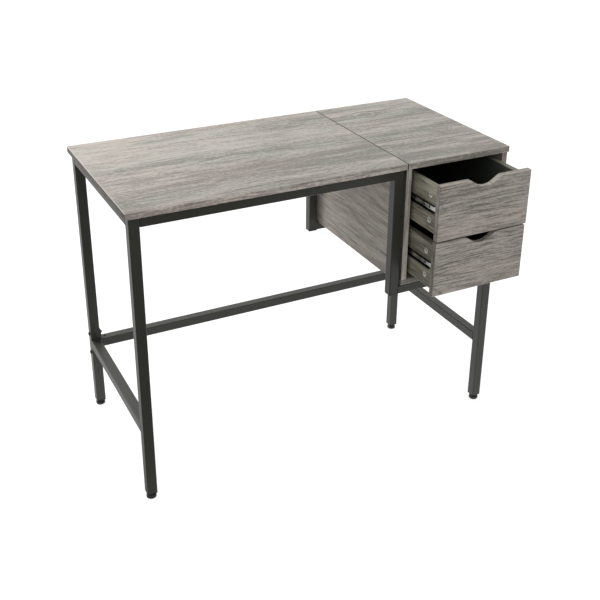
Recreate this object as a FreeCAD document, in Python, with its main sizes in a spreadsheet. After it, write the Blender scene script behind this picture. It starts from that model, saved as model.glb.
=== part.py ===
import FreeCAD, Part
import os
import Sketcher

# Work table: a tube frame carries a main top and a two-drawer cabinet on ball slides.
# Frame of the part: +X to the right, +Y to the rear, +Z up, origin on the floor below the middle of the table.
# Lengths are millimetres. Every piece is built from its own corner and placed by the two sheets.

SIZES = [
    ("overall_width", 1000, "left edge of the main top to the right edge of the cabinet top"),
    ("table_depth", 480, "front to rear edge of both tops"),
    ("table_height", 755, "floor to the work surface"),
    ("cabinet_width", 300, "cabinet top and carcass"),
    ("top_seam", 2, "gap between the two tops"),
    ("board_thickness", 15, "tops, carcass boards and drawer boards"),
    ("top_edge_round", 1, "edge round of the tops"),
    ("front_edge_round", 0.8, "edge round of the drawer fronts"),
    ("leg_tube", 25, "square tube of legs, bars, stretcher, uprights and top rails"),
    ("leg_tube_corner", 2.5, "outer corner radius of that tube"),
    ("base_tube", 22, "square tube under the cabinet"),
    ("base_tube_corner", 2, "outer corner radius of that tube"),
    ("rail_gap", 1.2, "open joint between a left leg and its top rail"),
    ("spigot_reach", 20, "spigot of a left leg inside its top rail"),
    ("tube_wall", 1.2, "wall of every tube"),
    ("frame_left_inset", 8, "main top overhang past the left legs"),
    ("frame_right_inset", 12, "cabinet overhang past the right legs"),
    ("frame_front_inset", 7, "top overhang past the front legs"),
    ("frame_rear_inset", 7, "top overhang past the rear legs"),
    ("crossbar_clearance", 184, "floor to the underside of the low bars"),
    ("upright_gap", 7, "uprights to the cabinet panel"),
    ("cap_rim", 4, "visible rim of an end cap"),
    ("cap_plug", 18, "part of an end cap inside the tube"),
    ("plug_slack", 0.1, "plug to tube wall on each side"),
    ("insert_rim", 3, "visible rim of a threaded leg insert"),
    ("insert_plug", 27, "part of a leg insert inside the tube"),
    ("foot_height", 15, "floor to the leg insert"),
    ("foot_diameter", 24.6, "base of a levelling foot"),
    ("foot_base_height", 7, "straight side of the foot base"),
    ("foot_edge", 1.2, "bevel at the bottom of the foot base"),
    ("foot_neck_start", 10, "height at which the neck begins"),
    ("foot_neck_diameter", 16, "neck of a levelling foot"),
    ("foot_gap", 0.3, "neck to the leg insert"),
    ("stud_diameter", 8, "threaded stud of a foot"),
    ("stud_length", 24, "stud above the neck"),
    ("stud_slack", 0.2, "stud to insert bore, radial"),
    ("plate_height", 80, "end plate of the rear stretcher"),
    ("plate_thickness", 3, "end plate of the rear stretcher"),
    ("bolt_spacing", 57, "the two bolts of an end plate"),
    ("bolt_diameter", 6, "stretcher bolt"),
    ("bolt_slack", 0.2, "bolt to hole, radial"),
    ("bolt_head_diameter", 11, "button head"),
    ("bolt_head_height", 3.3, "button head"),
    ("bolt_head_crown", 1.3, "bevel of the button head"),
    ("bolt_socket", 4, "round socket in the head"),
    ("bolt_socket_depth", 2, "socket in the head"),
    ("bolt_tail", 5, "bolt past the end plate"),
    ("stretcher_hole", 6, "hole in the upper face near each end"),
    ("stretcher_hole_inset", 12, "tube end to that hole"),
    ("screw_diameter", 4, "board screw"),
    ("screw_slack", 0.2, "screw to hole, radial"),
    ("screw_head_diameter", 8, "pan head of a board screw"),
    ("screw_head_height", 2.4, "pan head of a board screw"),
    ("screw_bite", 11, "board screw inside the board"),
    ("rail_screw_inset", 80, "rail end to its first screw"),
    ("base_screw_inset", 50, "cabinet tube end to its screw"),
    ("cabinet_opening_height", 300, "clear height inside the carcass"),
    ("panel_front_inset", 7, "top overhang past the cabinet front"),
    ("panel_rear_inset", 7, "top overhang past the cabinet rear"),
    ("back_thickness", 3, "cabinet back panel"),
    ("back_inset", 15, "back panel to the rear edge of the carcass"),
    ("groove_depth", 5, "grooves for thin panels"),
    ("groove_slack", 0.2, "thin panel to groove on each side"),
    ("dowel_diameter", 8, "carcass dowel"),
    ("dowel_slack", 0.1, "dowel to hole, radial"),
    ("dowel_in_panel", 20, "dowel inside a side panel"),
    ("dowel_in_board", 10, "dowel inside the top or bottom board"),
    ("dowel_inset", 60, "panel edge to its dowel"),
    ("front_side_gap", 2.5, "drawer front to a side panel"),
    ("front_floor_gap", 2.5, "lower drawer front to the bottom board"),
    ("front_middle_gap", 5.5, "between the drawer fronts"),
    ("front_top_gap", 8, "upper drawer front to the cabinet top"),
    ("drawer_side_lift", 11.5, "front bottom edge to the side bottom edge"),
    ("drawer_side_drop", 11.5, "front top edge to the side top edge"),
    ("drawer_length", 400, "drawer side boards"),
    ("drawer_bottom_thickness", 3, "drawer bottom panel"),
    ("drawer_bottom_lift", 10, "side bottom edge to the drawer bottom groove"),
    ("upper_opening", 117, "upper drawer at rest, out from closed"),
    ("lower_opening", 114, "lower drawer at rest, out from closed"),
    ("scoop_width", 90, "finger scoop at the top edge"),
    ("scoop_floor", 28, "flat floor of the scoop"),
    ("scoop_depth", 20, "finger scoop"),
    ("scoop_floor_round", 38, "radius beside the scoop floor"),
    ("scoop_corner_round", 18, "radius at the top of the scoop"),
    ("cam_diameter", 15, "cam fitting"),
    ("cam_slack", 0.1, "cam to bore, radial"),
    ("cam_depth", 12.5, "cam fitting"),
    ("cam_spacing", 64, "the two cams of a drawer side"),
    ("cam_inset", 34, "drawer front to the cam centre"),
    ("cam_recess_diameter", 9, "drive recess in the cam face"),
    ("cam_recess_depth", 2, "drive recess in the cam face"),
    ("cam_bolt_diameter", 6, "bolt that the cam draws in"),
    ("cam_bolt_slack", 0.1, "cam bolt to bore, radial"),
    ("cam_bolt_bite", 11, "cam bolt inside the drawer front"),
    ("joint_screw_length", 40, "screw through a drawer side into its back"),
    ("joint_screw_spacing", 60, "the two joint screws of a corner"),
    ("slide_space", 10, "cabinet panel to drawer side"),
    ("slide_length", 350, "both members of a slide"),
    ("slide_height", 27, "cabinet member"),
    ("slide_steel", 1, "steel strip of both members"),
    ("slide_setback", 2.5, "drawer front to the slide end"),
    ("slide_lift", 2.5, "middle of a drawer side to the middle of its slide"),
    ("ball_diameter", 3.2, "slide ball"),
    ("ball_gap", 0.3, "ball to race"),
    ("ball_row", 5.4, "cabinet panel to the ball rows"),
    ("race_lip", 0.2, "straight end of a race"),
    ("ball_pitch", 22, "balls along the cage"),
    ("cage_length", 92, "ball cage"),
    ("cage_steel", 0.8, "ball cage strip"),
    ("cage_gap", 0.4, "cage to the cabinet member"),
    ("cage_reach", 2.2, "cage edge past the ball rows"),
    ("cage_slack", 0.1, "ball to cage hole, radial"),
    ("tongue_length", 8, "bare web at the front of the drawer member"),
    ("tongue_round", 4, "corner radius of that web"),
    ("access_hole", 7, "large hole in the drawer member"),
    ("access_hole_inset", 31, "member end to the large hole"),
    ("slide_hole_pitch", 17.5, "large hole to the front screw"),
    ("slide_rear_inset", 40, "member end to the rear screw"),
    ("slide_screw_diameter", 3.5, "slide screw"),
    ("slide_screw_slack", 0.2, "slide screw to hole, radial"),
    ("slide_screw_head", 6.5, "pan head of a slide screw"),
    ("slide_screw_head_height", 1.6, "pan head of a slide screw"),
    ("slide_screw_bite", 11, "slide screw inside a board"),
]

PLACES = [
    ("left_x", "-sizes.overall_width / 2"),
    ("right_x", "sizes.overall_width / 2"),
    ("reach", "max(sizes.upper_opening; sizes.lower_opening) - sizes.panel_front_inset"),
    ("front_y", "-(sizes.table_depth - reach) / 2"),
    ("rear_y", "front_y + sizes.table_depth"),
    ("top_z", "sizes.table_height - sizes.board_thickness"),
    ("main_width", "sizes.overall_width - sizes.cabinet_width - sizes.top_seam"),
    ("leg_left_x", "left_x + sizes.frame_left_inset"),
    ("leg_right_x", "right_x - sizes.frame_right_inset - sizes.leg_tube"),
    ("leg_front_y", "front_y + sizes.frame_front_inset"),
    ("leg_rear_y", "rear_y - sizes.frame_rear_inset - sizes.leg_tube"),
    ("leg_z", "sizes.foot_height + sizes.insert_rim"),
    ("cabinet_x", "right_x - sizes.cabinet_width"),
    ("upright_x", "cabinet_x - sizes.upright_gap - sizes.leg_tube"),
    ("cabinet_floor_z", "top_z - sizes.cabinet_opening_height"),
    ("base_top_z", "cabinet_floor_z - sizes.board_thickness"),
    ("base_z", "base_top_z - sizes.base_tube"),
    ("rail_z", "top_z - sizes.leg_tube"),
    ("leg_face_x", "leg_left_x + sizes.leg_tube"),
    ("rail_x", "leg_face_x + sizes.rail_gap"),
    ("rail_length", "upright_x - rail_x"),
    ("side_rail_y", "leg_front_y + sizes.leg_tube"),
    ("side_rail_length", "leg_rear_y - side_rail_y"),
    ("rear_base_y", "leg_rear_y + sizes.leg_tube - sizes.base_tube"),
    ("right_rail_x", "leg_right_x + sizes.leg_tube - sizes.base_tube"),
    ("base_x", "upright_x + sizes.leg_tube"),
    ("base_length", "leg_right_x - base_x"),
    ("plate_right_x", "leg_right_x - sizes.plate_thickness"),
    ("stretcher_x", "leg_face_x + sizes.plate_thickness"),
    ("stretcher_length", "plate_right_x - stretcher_x"),
    ("stretcher_mid_z", "sizes.crossbar_clearance + sizes.leg_tube / 2"),
    ("panel_y", "front_y + sizes.panel_front_inset"),
    ("panel_depth", "sizes.table_depth - sizes.panel_front_inset - sizes.panel_rear_inset"),
    ("panel_left_face", "cabinet_x + sizes.board_thickness"),
    ("panel_right_face", "right_x - sizes.board_thickness"),
    ("opening_width", "panel_right_face - panel_left_face"),
    ("front_width", "opening_width - 2 * sizes.front_side_gap"),
    ("front_gaps", "sizes.front_floor_gap + sizes.front_middle_gap + sizes.front_top_gap"),
    ("front_height", "(sizes.cabinet_opening_height - front_gaps) / 2"),
    ("drawer_side_height", "front_height - sizes.drawer_side_lift - sizes.drawer_side_drop"),
    ("drawer_left_x", "panel_left_face + sizes.slide_space"),
    ("drawer_right_x", "panel_right_face - sizes.slide_space"),
    ("drawer_inner_width", "drawer_right_x - drawer_left_x - 2 * sizes.board_thickness"),
    ("bottom_groove", "sizes.drawer_bottom_thickness + 2 * sizes.groove_slack"),
    ("drawer_back_lift", "sizes.drawer_bottom_lift + bottom_groove"),
    ("lower_front_y", "panel_y - sizes.lower_opening"),
    ("upper_front_y", "panel_y - sizes.upper_opening"),
    ("lower_front_z", "cabinet_floor_z + sizes.front_floor_gap"),
    ("upper_front_z", "lower_front_z + front_height + sizes.front_middle_gap"),
    ("back_groove", "sizes.back_thickness + 2 * sizes.groove_slack"),
    ("back_groove_y", "panel_depth - sizes.back_inset - back_groove"),
    ("slide_y", "panel_y + sizes.board_thickness + sizes.slide_setback"),
    ("slide_screw_front", "sizes.access_hole_inset + sizes.slide_hole_pitch"),
    ("slide_screw_rear", "sizes.slide_length - sizes.slide_rear_inset"),
    ("outer_half", "sizes.slide_height / 2"),
    ("outer_race", "outer_half - sizes.slide_steel"),
    ("race_round", "sizes.ball_diameter / 2 + sizes.ball_gap"),
    ("bend_round", "race_round + sizes.slide_steel"),
    ("ball_height", "outer_race - race_round"),
    ("inner_race", "ball_height - race_round"),
    ("inner_flange", "inner_race - sizes.slide_steel"),
    ("race_bend", "race_round * tan(22.5 deg)"),
    ("outer_bend", "bend_round * tan(22.5 deg)"),
    ("race_run", "(race_bend + sizes.race_lip) * cos(45 deg)"),
    ("outer_run", "(outer_bend + sizes.race_lip) * cos(45 deg)"),
    ("cage_web", "sizes.slide_steel + sizes.cage_gap"),
    ("cage_low", "ball_height - sizes.cage_steel / 2"),
    ("cage_high", "ball_height + sizes.cage_steel / 2"),
    ("cage_edge", "sizes.ball_row + sizes.cage_reach"),
]

BALLS_PER_ROW = 4
CROSS_AXES = {"X": (1, 2), "Y": (0, 2), "Z": (0, 1)}
NORMAL_PLANES = {"X": "YZ_Plane", "Y": "XZ_Plane", "Z": "XY_Plane"}
EDGE_TOLERANCE = 0.01

doc = FreeCAD.newDocument("work_table")
nodes = {}


def fill_sheet(name, rows):
    """Add a sheet whose rows are an alias, its value or formula, and a note."""
    table = doc.addObject("Spreadsheet::Sheet", name)
    for number, row in enumerate(rows, start=1):
        table.set(f"A{number}", row[0])
        table.set(f"B{number}", row[1])
        table.setAlias(f"B{number}", row[0])
        if len(row) > 2:
            table.set(f"C{number}", row[2])
    doc.recompute()
    return table


sizes = fill_sheet("sizes", [(alias, str(number), note) for alias, number, note in SIZES])
places = fill_sheet("places", [(alias, "=" + formula) for alias, formula in PLACES])


def value(expression):
    """Work out an expression on the sheets as a plain number."""
    return float(places.evalExpression(expression))


def place(thing, x, y, z, turn=None):
    """Bind the position of an object to the sheets, with an optional fixed turn."""
    if turn is not None:
        thing.Placement = FreeCAD.Placement(FreeCAD.Vector(), turn)
    thing.setExpression("Placement.Base.x", x)
    thing.setExpression("Placement.Base.y", y)
    thing.setExpression("Placement.Base.z", z)


def rectangle(x, y, width, height):
    """Corner points of a rectangle from expressions."""
    right = f"({x}) + ({width})"
    upper = f"({y}) + ({height})"
    return [(x, y), (right, y), (right, upper), (x, upper)]


def bind(sketch, kind, geometry, expression, from_origin=True):
    """Add one sized constraint and bind it to the sheets."""
    ends = (-1, 1, geometry, 1) if from_origin else (geometry,)
    number = sketch.addConstraint(Sketcher.Constraint(kind, *ends, value(expression)))
    sketch.setExpression(f"Constraints[{number}]", expression)


def draw_polygon(sketch, points):
    """Draw a closed outline whose corners are all bound to the sheets."""
    corners = [FreeCAD.Vector(value(x), value(y), 0) for x, y in points]
    count = len(points)
    lines = []
    for number in range(count):
        segment = Part.LineSegment(corners[number], corners[(number + 1) % count])
        lines.append(sketch.addGeometry(segment, False))
    for number in range(count):
        following = lines[(number + 1) % count]
        sketch.addConstraint(Sketcher.Constraint("Coincident", lines[number], 2, following, 1))
    for line, (x, y) in zip(lines, points):
        bind(sketch, "DistanceX", line, x)
        bind(sketch, "DistanceY", line, y)


def draw_circle(sketch, x, y, diameter):
    """Draw a circle whose centre and diameter are bound to the sheets."""
    centre = FreeCAD.Vector(value(x), value(y), 0)
    ring = Part.Circle(centre, FreeCAD.Vector(0, 0, 1), value(diameter) / 2)
    number = sketch.addGeometry(ring, False)
    for kind, expression in (("DistanceX", x), ("DistanceY", y)):
        index = sketch.addConstraint(Sketcher.Constraint(kind, -1, 1, number, 3, value(expression)))
        sketch.setExpression(f"Constraints[{index}]", expression)
    bind(sketch, "Diameter", number, diameter, from_origin=False)


class Piece:
    """A PartDesign body that is built from its own corner and placed by the sheets."""

    def __init__(self, label, x="0", y="0", z="0", turn=None):
        """Start an empty body at the given place."""
        self.body = doc.addObject("PartDesign::Body", label)
        self.body.Label = label
        place(self.body, x, y, z, turn)

    def outline(self, axis, shapes, offset="0"):
        """Sketch outlines on the plane across an axis; point lists are polygons, triples are circles."""
        role = NORMAL_PLANES[axis]
        plane = next(item for item in self.body.Origin.OriginFeatures if item.Role == role)
        sketch = self.body.newObject("Sketcher::SketchObject", self.body.Label + "_outline")
        sketch.AttachmentSupport = [(plane, "")]
        sketch.MapMode = "FlatFace"
        sign = "-1" if axis == "Y" else "1"
        sketch.setExpression("AttachmentOffset.Base.z", f"{sign} * ({offset})")
        for shape in shapes:
            if isinstance(shape, list):
                draw_polygon(sketch, shape)
            else:
                draw_circle(sketch, *shape)
        return sketch

    def pad(self, axis, shapes, length, offset="0"):
        """Add material from an outline along the positive axis."""
        feature = self.body.newObject("PartDesign::Pad", self.body.Label + "_pad")
        feature.Profile = self.outline(axis, shapes, offset)
        feature.setExpression("Length", length)
        feature.Reversed = axis == "Y"
        doc.recompute()
        return self

    def cut(self, axis, shapes, depth=None, offset="0", forward=True, taper=0):
        """Cut an outline along the axis, forward or backward, right through if no depth is given."""
        before = self.body.Shape.Volume
        feature = self.body.newObject("PartDesign::Pocket", self.body.Label + "_cut")
        feature.Profile = self.outline(axis, shapes, offset)
        feature.Reversed = forward != (axis == "Y")
        if depth is None:
            feature.Type = "ThroughAll"
        else:
            feature.setExpression("Length", depth)
        feature.TaperAngle = taper
        doc.recompute()
        if not self.body.Shape.Volume < before:
            raise RuntimeError(f"cut removes nothing: {feature.Label}")
        return self

    def turn(self, points):
        """Revolve a half outline, radius and height, about the vertical axis."""
        sketch = self.outline("Y", [points])
        feature = self.body.newObject("PartDesign::Revolution", self.body.Label + "_turn")
        feature.Profile = sketch
        feature.ReferenceAxis = (sketch, ["V_Axis"])
        feature.Angle = 360
        doc.recompute()
        return self

    def fillet(self, spots, radius):
        """Round the straight edges that run along an axis through the named spots."""
        tip = self.body.Tip
        names = []
        for axis, first, second in spots:
            wanted = (value(first), value(second))
            names.append(find_edge(tip.Shape, axis, wanted))
        feature = self.body.newObject("PartDesign::Fillet", self.body.Label + "_round")
        feature.Base = (tip, names)
        feature.setExpression("Radius", radius)
        doc.recompute()
        return self

    def fillet_front(self, radius):
        """Round the whole outline of the face that looks along -Y."""
        tip = self.body.Tip
        front = min(range(len(tip.Shape.Faces)), key=lambda number: tip.Shape.Faces[number].CenterOfMass.y)
        feature = self.body.newObject("PartDesign::Fillet", self.body.Label + "_edge")
        feature.Base = (tip, [f"Face{front + 1}"])
        feature.setExpression("Radius", radius)
        doc.recompute()
        return self

    def keep(self):
        """Hand the body in as a node of the part."""
        nodes[self.body.Label] = self.body
        return self


def find_edge(shape, axis, wanted):
    """Name the longest edge along an axis whose cross position is the wanted one."""
    first, second = CROSS_AXES[axis]
    along = "XYZ".index(axis)
    best = None
    best_length = 0
    for number, edge in enumerate(shape.Edges, start=1):
        box = edge.BoundBox
        spans = (box.XLength, box.YLength, box.ZLength)
        if spans[first] > EDGE_TOLERANCE or spans[second] > EDGE_TOLERANCE:
            continue
        middle = box.Center
        if abs(middle[first] - wanted[0]) > EDGE_TOLERANCE or abs(middle[second] - wanted[1]) > EDGE_TOLERANCE:
            continue
        if spans[along] > best_length:
            best = f"Edge{number}"
            best_length = spans[along]
    if best is None:
        raise RuntimeError(f"no edge along {axis} at {wanted}")
    return best


def corners(axis, low, high):
    """The four edges of a square bar between two cross positions."""
    return [(axis, low, low), (axis, high, low), (axis, high, high), (axis, low, high)]


def tube(label, axis, side, corner, length, x, y, z):
    """A square tube with rounded corners outside and inside."""
    piece = Piece(label, x, y, z)
    bore = f"{side} - 2 * sizes.tube_wall"
    shapes = [
        rectangle("0", "0", side, side),
        rectangle("sizes.tube_wall", "sizes.tube_wall", bore, bore),
    ]
    piece.pad(axis, shapes, length)
    piece.fillet(corners(axis, "0", side), corner)
    piece.fillet(corners(axis, "sizes.tube_wall", f"{side} - sizes.tube_wall"), f"{corner} - sizes.tube_wall")
    return piece.keep()


def leg_tube(label, axis, length, x, y, z):
    """A tube of the heavier size."""
    return tube(label, axis, "sizes.leg_tube", "sizes.leg_tube_corner", length, x, y, z)


def base_tube(label, axis, length, x, y, z):
    """A tube of the lighter size."""
    return tube(label, axis, "sizes.base_tube", "sizes.base_tube_corner", length, x, y, z)


def group(label, items, bodies=()):
    """Gather bodies and copies of masters as separate solids of one node; items are master, x, y, z, turn."""
    links = list(bodies)
    for number, (master, x, y, z, turn) in enumerate(items, start=1):
        link = doc.addObject("App::Link", f"{label}_{number}")
        link.LinkedObject = master
        place(link, x, y, z, turn)
        links.append(link)
    gathered = doc.addObject("Part::Compound", label)
    gathered.Label = label
    gathered.Links = links
    nodes[label] = gathered
    doc.recompute()
    return gathered


UPWARD = FreeCAD.Rotation()
TO_RIGHT = FreeCAD.Rotation(FreeCAD.Vector(0, 1, 0), 90)
TO_LEFT = FreeCAD.Rotation(FreeCAD.Vector(0, 1, 0), -90)
TO_FRONT = FreeCAD.Rotation(FreeCAD.Vector(1, 0, 0), 90)
HALF_TURN = FreeCAD.Rotation(FreeCAD.Vector(0, 1, 0), 180)


def screw_master(label, diameter, head, head_height, length):
    """A pan-head screw whose head lies below zero and whose shank points up."""
    points = [
        ("0", f"-{head_height}"),
        (f"{head} / 2 - {head_height} / 3", f"-{head_height}"),
        (f"{head} / 2", f"-2 / 3 * {head_height}"),
        (f"{head} / 2", "0"),
        (f"{diameter} / 2", "0"),
        (f"{diameter} / 2", length),
        ("0", length),
    ]
    return Piece(label).turn(points).body


# Frame: legs and uprights

LONG_LEG = "places.top_z - places.leg_z"
SHORT_LEG = "places.base_top_z - places.leg_z"
UPRIGHT_Z = "places.base_z + sizes.cap_rim"
UPRIGHT_LENGTH = f"places.top_z - ({UPRIGHT_Z})"
TUBE_MIDDLE = "sizes.leg_tube / 2"
BOLT_HOLE = "sizes.bolt_diameter + 2 * sizes.bolt_slack"
BOLT_LOW = "places.stretcher_mid_z - sizes.bolt_spacing / 2"
BOLT_HIGH = "places.stretcher_mid_z + sizes.bolt_spacing / 2"

leg_tube("leg_front_left", "Z", LONG_LEG, "places.leg_left_x", "places.leg_front_y", "places.leg_z")
rear_left = leg_tube("leg_rear_left", "Z", LONG_LEG, "places.leg_left_x", "places.leg_rear_y", "places.leg_z")
leg_tube("leg_front_right", "Z", SHORT_LEG, "places.leg_right_x", "places.leg_front_y", "places.leg_z")
rear_right = leg_tube("leg_rear_right", "Z", SHORT_LEG, "places.leg_right_x", "places.leg_rear_y", "places.leg_z")
for leg in (rear_left, rear_right):
    leg.cut("X", [(TUBE_MIDDLE, f"{level} - places.leg_z", BOLT_HOLE) for level in (BOLT_LOW, BOLT_HIGH)])
leg_tube("upright_front", "Z", UPRIGHT_LENGTH, "places.upright_x", "places.leg_front_y", UPRIGHT_Z)
leg_tube("upright_rear", "Z", UPRIGHT_LENGTH, "places.upright_x", "places.leg_rear_y", UPRIGHT_Z)

# Frame: low bars

BAR_Z = "sizes.crossbar_clearance"
leg_tube("left_crossbar", "Y", "places.side_rail_length", "places.leg_left_x", "places.side_rail_y", BAR_Z)
leg_tube("right_crossbar", "Y", "places.side_rail_length", "places.leg_right_x", "places.side_rail_y", BAR_Z)
stretcher = leg_tube("rear_stretcher", "X", "places.stretcher_length", "places.stretcher_x", "places.leg_rear_y",
                     BAR_Z)
hole_spots = ["sizes.stretcher_hole_inset", "places.stretcher_length - sizes.stretcher_hole_inset"]
stretcher.cut("Z", [(spot, TUBE_MIDDLE, "sizes.stretcher_hole") for spot in hole_spots], TUBE_MIDDLE,
              "sizes.leg_tube", forward=False)

end_plate = Piece("end_plate")
end_plate.pad("X", [rectangle("0", "0", "sizes.leg_tube", "sizes.plate_height")], "sizes.plate_thickness")
plate_holes = [f"sizes.plate_height / 2 {sign} sizes.bolt_spacing / 2" for sign in "-+"]
end_plate.cut("X", [(TUBE_MIDDLE, level, BOLT_HOLE) for level in plate_holes])
PLATE_Z = "places.stretcher_mid_z - sizes.plate_height / 2"
group("stretcher_end_plates", [
    (end_plate.body, "places.leg_face_x", "places.leg_rear_y", PLATE_Z, UPWARD),
    (end_plate.body, "places.plate_right_x", "places.leg_rear_y", PLATE_Z, UPWARD),
])

BOLT_LENGTH = "sizes.leg_tube + sizes.plate_thickness + sizes.bolt_tail"
bolt = Piece("stretcher_bolt").turn([
    ("0", "sizes.bolt_socket_depth - sizes.bolt_head_height"),
    ("sizes.bolt_socket / 2", "sizes.bolt_socket_depth - sizes.bolt_head_height"),
    ("sizes.bolt_socket / 2", "-sizes.bolt_head_height"),
    ("sizes.bolt_head_diameter / 2 - sizes.bolt_head_crown", "-sizes.bolt_head_height"),
    ("sizes.bolt_head_diameter / 2", "sizes.bolt_head_crown - sizes.bolt_head_height"),
    ("sizes.bolt_head_diameter / 2", "0"),
    ("sizes.bolt_diameter / 2", "0"),
    ("sizes.bolt_diameter / 2", BOLT_LENGTH),
    ("0", BOLT_LENGTH),
]).body
bolt_y = f"places.leg_rear_y + {TUBE_MIDDLE}"
bolt_items = []
for level in (BOLT_LOW, BOLT_HIGH):
    bolt_items.append((bolt, "places.leg_left_x", bolt_y, level, TO_RIGHT))
    bolt_items.append((bolt, "places.leg_right_x + sizes.leg_tube", bolt_y, level, TO_LEFT))
group("stretcher_bolts", bolt_items)

# Frame: tubes under the boards

SCREW_HOLE = "sizes.screw_diameter + 2 * sizes.screw_slack"
BASE_MIDDLE = "sizes.base_tube / 2"
rail_spots = ["sizes.rail_screw_inset", "places.rail_length / 2", "places.rail_length - sizes.rail_screw_inset"]
base_spots = ["sizes.base_screw_inset", "places.base_length - sizes.base_screw_inset"]
side_spot = "places.side_rail_length / 2"

front_rail = leg_tube("front_top_rail", "X", "places.rail_length", "places.rail_x", "places.leg_front_y",
                      "places.rail_z")
rear_rail = leg_tube("rear_top_rail", "X", "places.rail_length", "places.rail_x", "places.leg_rear_y",
                     "places.rail_z")
left_rail = leg_tube("left_top_rail", "Y", "places.side_rail_length", "places.leg_left_x", "places.side_rail_y",
                     "places.rail_z")
middle_rail = leg_tube("middle_top_rail", "Y", "places.side_rail_length", "places.upright_x",
                       "places.side_rail_y", "places.rail_z")
base_tube("right_base_rail", "Y", "places.side_rail_length", "places.right_rail_x", "places.side_rail_y",
          "places.base_z")
base_front = base_tube("cabinet_tube_front", "X", "places.base_length", "places.base_x", "places.leg_front_y",
                       "places.base_z")
base_rear = base_tube("cabinet_tube_rear", "X", "places.base_length", "places.base_x", "places.rear_base_y",
                      "places.base_z")
for rail in (front_rail, rear_rail):
    rail.cut("Z", [(spot, TUBE_MIDDLE, SCREW_HOLE) for spot in rail_spots])
for rail in (base_front, base_rear):
    rail.cut("Z", [(spot, BASE_MIDDLE, SCREW_HOLE) for spot in base_spots])
for rail in (left_rail, middle_rail):
    rail.cut("Z", [(TUBE_MIDDLE, side_spot, SCREW_HOLE)])

top_screws = []
for leg_y in ("places.leg_front_y", "places.leg_rear_y"):
    top_screws += [(f"places.rail_x + {spot}", f"{leg_y} + {TUBE_MIDDLE}") for spot in rail_spots]
for rail_x in ("places.leg_left_x", "places.upright_x"):
    top_screws.append((f"{rail_x} + {TUBE_MIDDLE}", f"places.side_rail_y + {side_spot}"))
base_screws = []
for base_y in ("places.leg_front_y", "places.rear_base_y"):
    base_screws += [(f"places.base_x + {spot}", f"{base_y} + {BASE_MIDDLE}") for spot in base_spots]
screw_items = []
for name, spots, tube_side, low_z in (("top_screw", top_screws, "sizes.leg_tube", "places.rail_z"),
                                      ("base_screw", base_screws, "sizes.base_tube", "places.base_z")):
    screw = screw_master(name, "sizes.screw_diameter", "sizes.screw_head_diameter", "sizes.screw_head_height",
                         f"{tube_side} + sizes.screw_bite")
    screw_items += [(screw, x, y, low_z, UPWARD) for x, y in spots]
group("board_screws", screw_items)

# Pieces inside the tube ends, and the feet

PLUG_SIDE = "sizes.leg_tube - 2 * sizes.tube_wall - 2 * sizes.plug_slack"
PLUG_EDGE = "sizes.tube_wall + sizes.plug_slack"
PLUG_ROUND = "sizes.leg_tube_corner - sizes.tube_wall"


def tube_plug(label, rim, plug):
    """A plug with a rim as wide as the tube, built up from the underside of the rim."""
    piece = Piece(label)
    piece.pad("Z", [rectangle("0", "0", "sizes.leg_tube", "sizes.leg_tube")], rim)
    piece.fillet(corners("Z", "0", "sizes.leg_tube"), "sizes.leg_tube_corner")
    piece.pad("Z", [rectangle(PLUG_EDGE, PLUG_EDGE, PLUG_SIDE, PLUG_SIDE)], plug, rim)
    piece.fillet(corners("Z", PLUG_EDGE, f"{PLUG_EDGE} + {PLUG_SIDE}"), PLUG_ROUND)
    return piece


leg_insert = tube_plug("leg_insert", "sizes.insert_rim", "sizes.insert_plug")
leg_insert.cut("Z", [(TUBE_MIDDLE, TUBE_MIDDLE, "sizes.stud_diameter + 2 * sizes.stud_slack")])
end_cap = tube_plug("end_cap", "sizes.cap_rim", "sizes.cap_plug")
LEG_SPOTS = {
    "front_left": ("places.leg_left_x", "places.leg_front_y"),
    "rear_left": ("places.leg_left_x", "places.leg_rear_y"),
    "front_right": ("places.leg_right_x", "places.leg_front_y"),
    "rear_right": ("places.leg_right_x", "places.leg_rear_y"),
}
group("leg_inserts", [(leg_insert.body, x, y, "sizes.foot_height", UPWARD) for x, y in LEG_SPOTS.values()])
tube_rows = ["places.leg_front_y", "places.leg_rear_y"]
group("upright_end_caps", [(end_cap.body, "places.upright_x", y, "places.base_z", UPWARD) for y in tube_rows])

spigot = Piece("rail_spigot")
spigot.pad("X", [rectangle(PLUG_EDGE, PLUG_EDGE, PLUG_SIDE, PLUG_SIDE)], "sizes.rail_gap + sizes.spigot_reach")
spigot.fillet(corners("X", PLUG_EDGE, f"{PLUG_EDGE} + {PLUG_SIDE}"), PLUG_ROUND)
group("rail_spigots", [(spigot.body, "places.leg_face_x", y, "places.rail_z", UPWARD) for y in tube_rows])

NECK_TOP = "sizes.foot_height - sizes.foot_gap"
foot_outline = [
    ("0", "0"),
    ("sizes.foot_diameter / 2 - sizes.foot_edge", "0"),
    ("sizes.foot_diameter / 2", "sizes.foot_edge"),
    ("sizes.foot_diameter / 2", "sizes.foot_base_height"),
    ("sizes.foot_neck_diameter / 2", "sizes.foot_neck_start"),
    ("sizes.foot_neck_diameter / 2", NECK_TOP),
    ("sizes.stud_diameter / 2", NECK_TOP),
    ("sizes.stud_diameter / 2", f"{NECK_TOP} + sizes.stud_length"),
    ("0", f"{NECK_TOP} + sizes.stud_length"),
]
for corner_name, (leg_x, leg_y) in LEG_SPOTS.items():
    foot = Piece(f"foot_{corner_name}", f"{leg_x} + {TUBE_MIDDLE}", f"{leg_y} + {TUBE_MIDDLE}")
    foot.turn(foot_outline).keep()

# Tops

THICK = "sizes.board_thickness"


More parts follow.
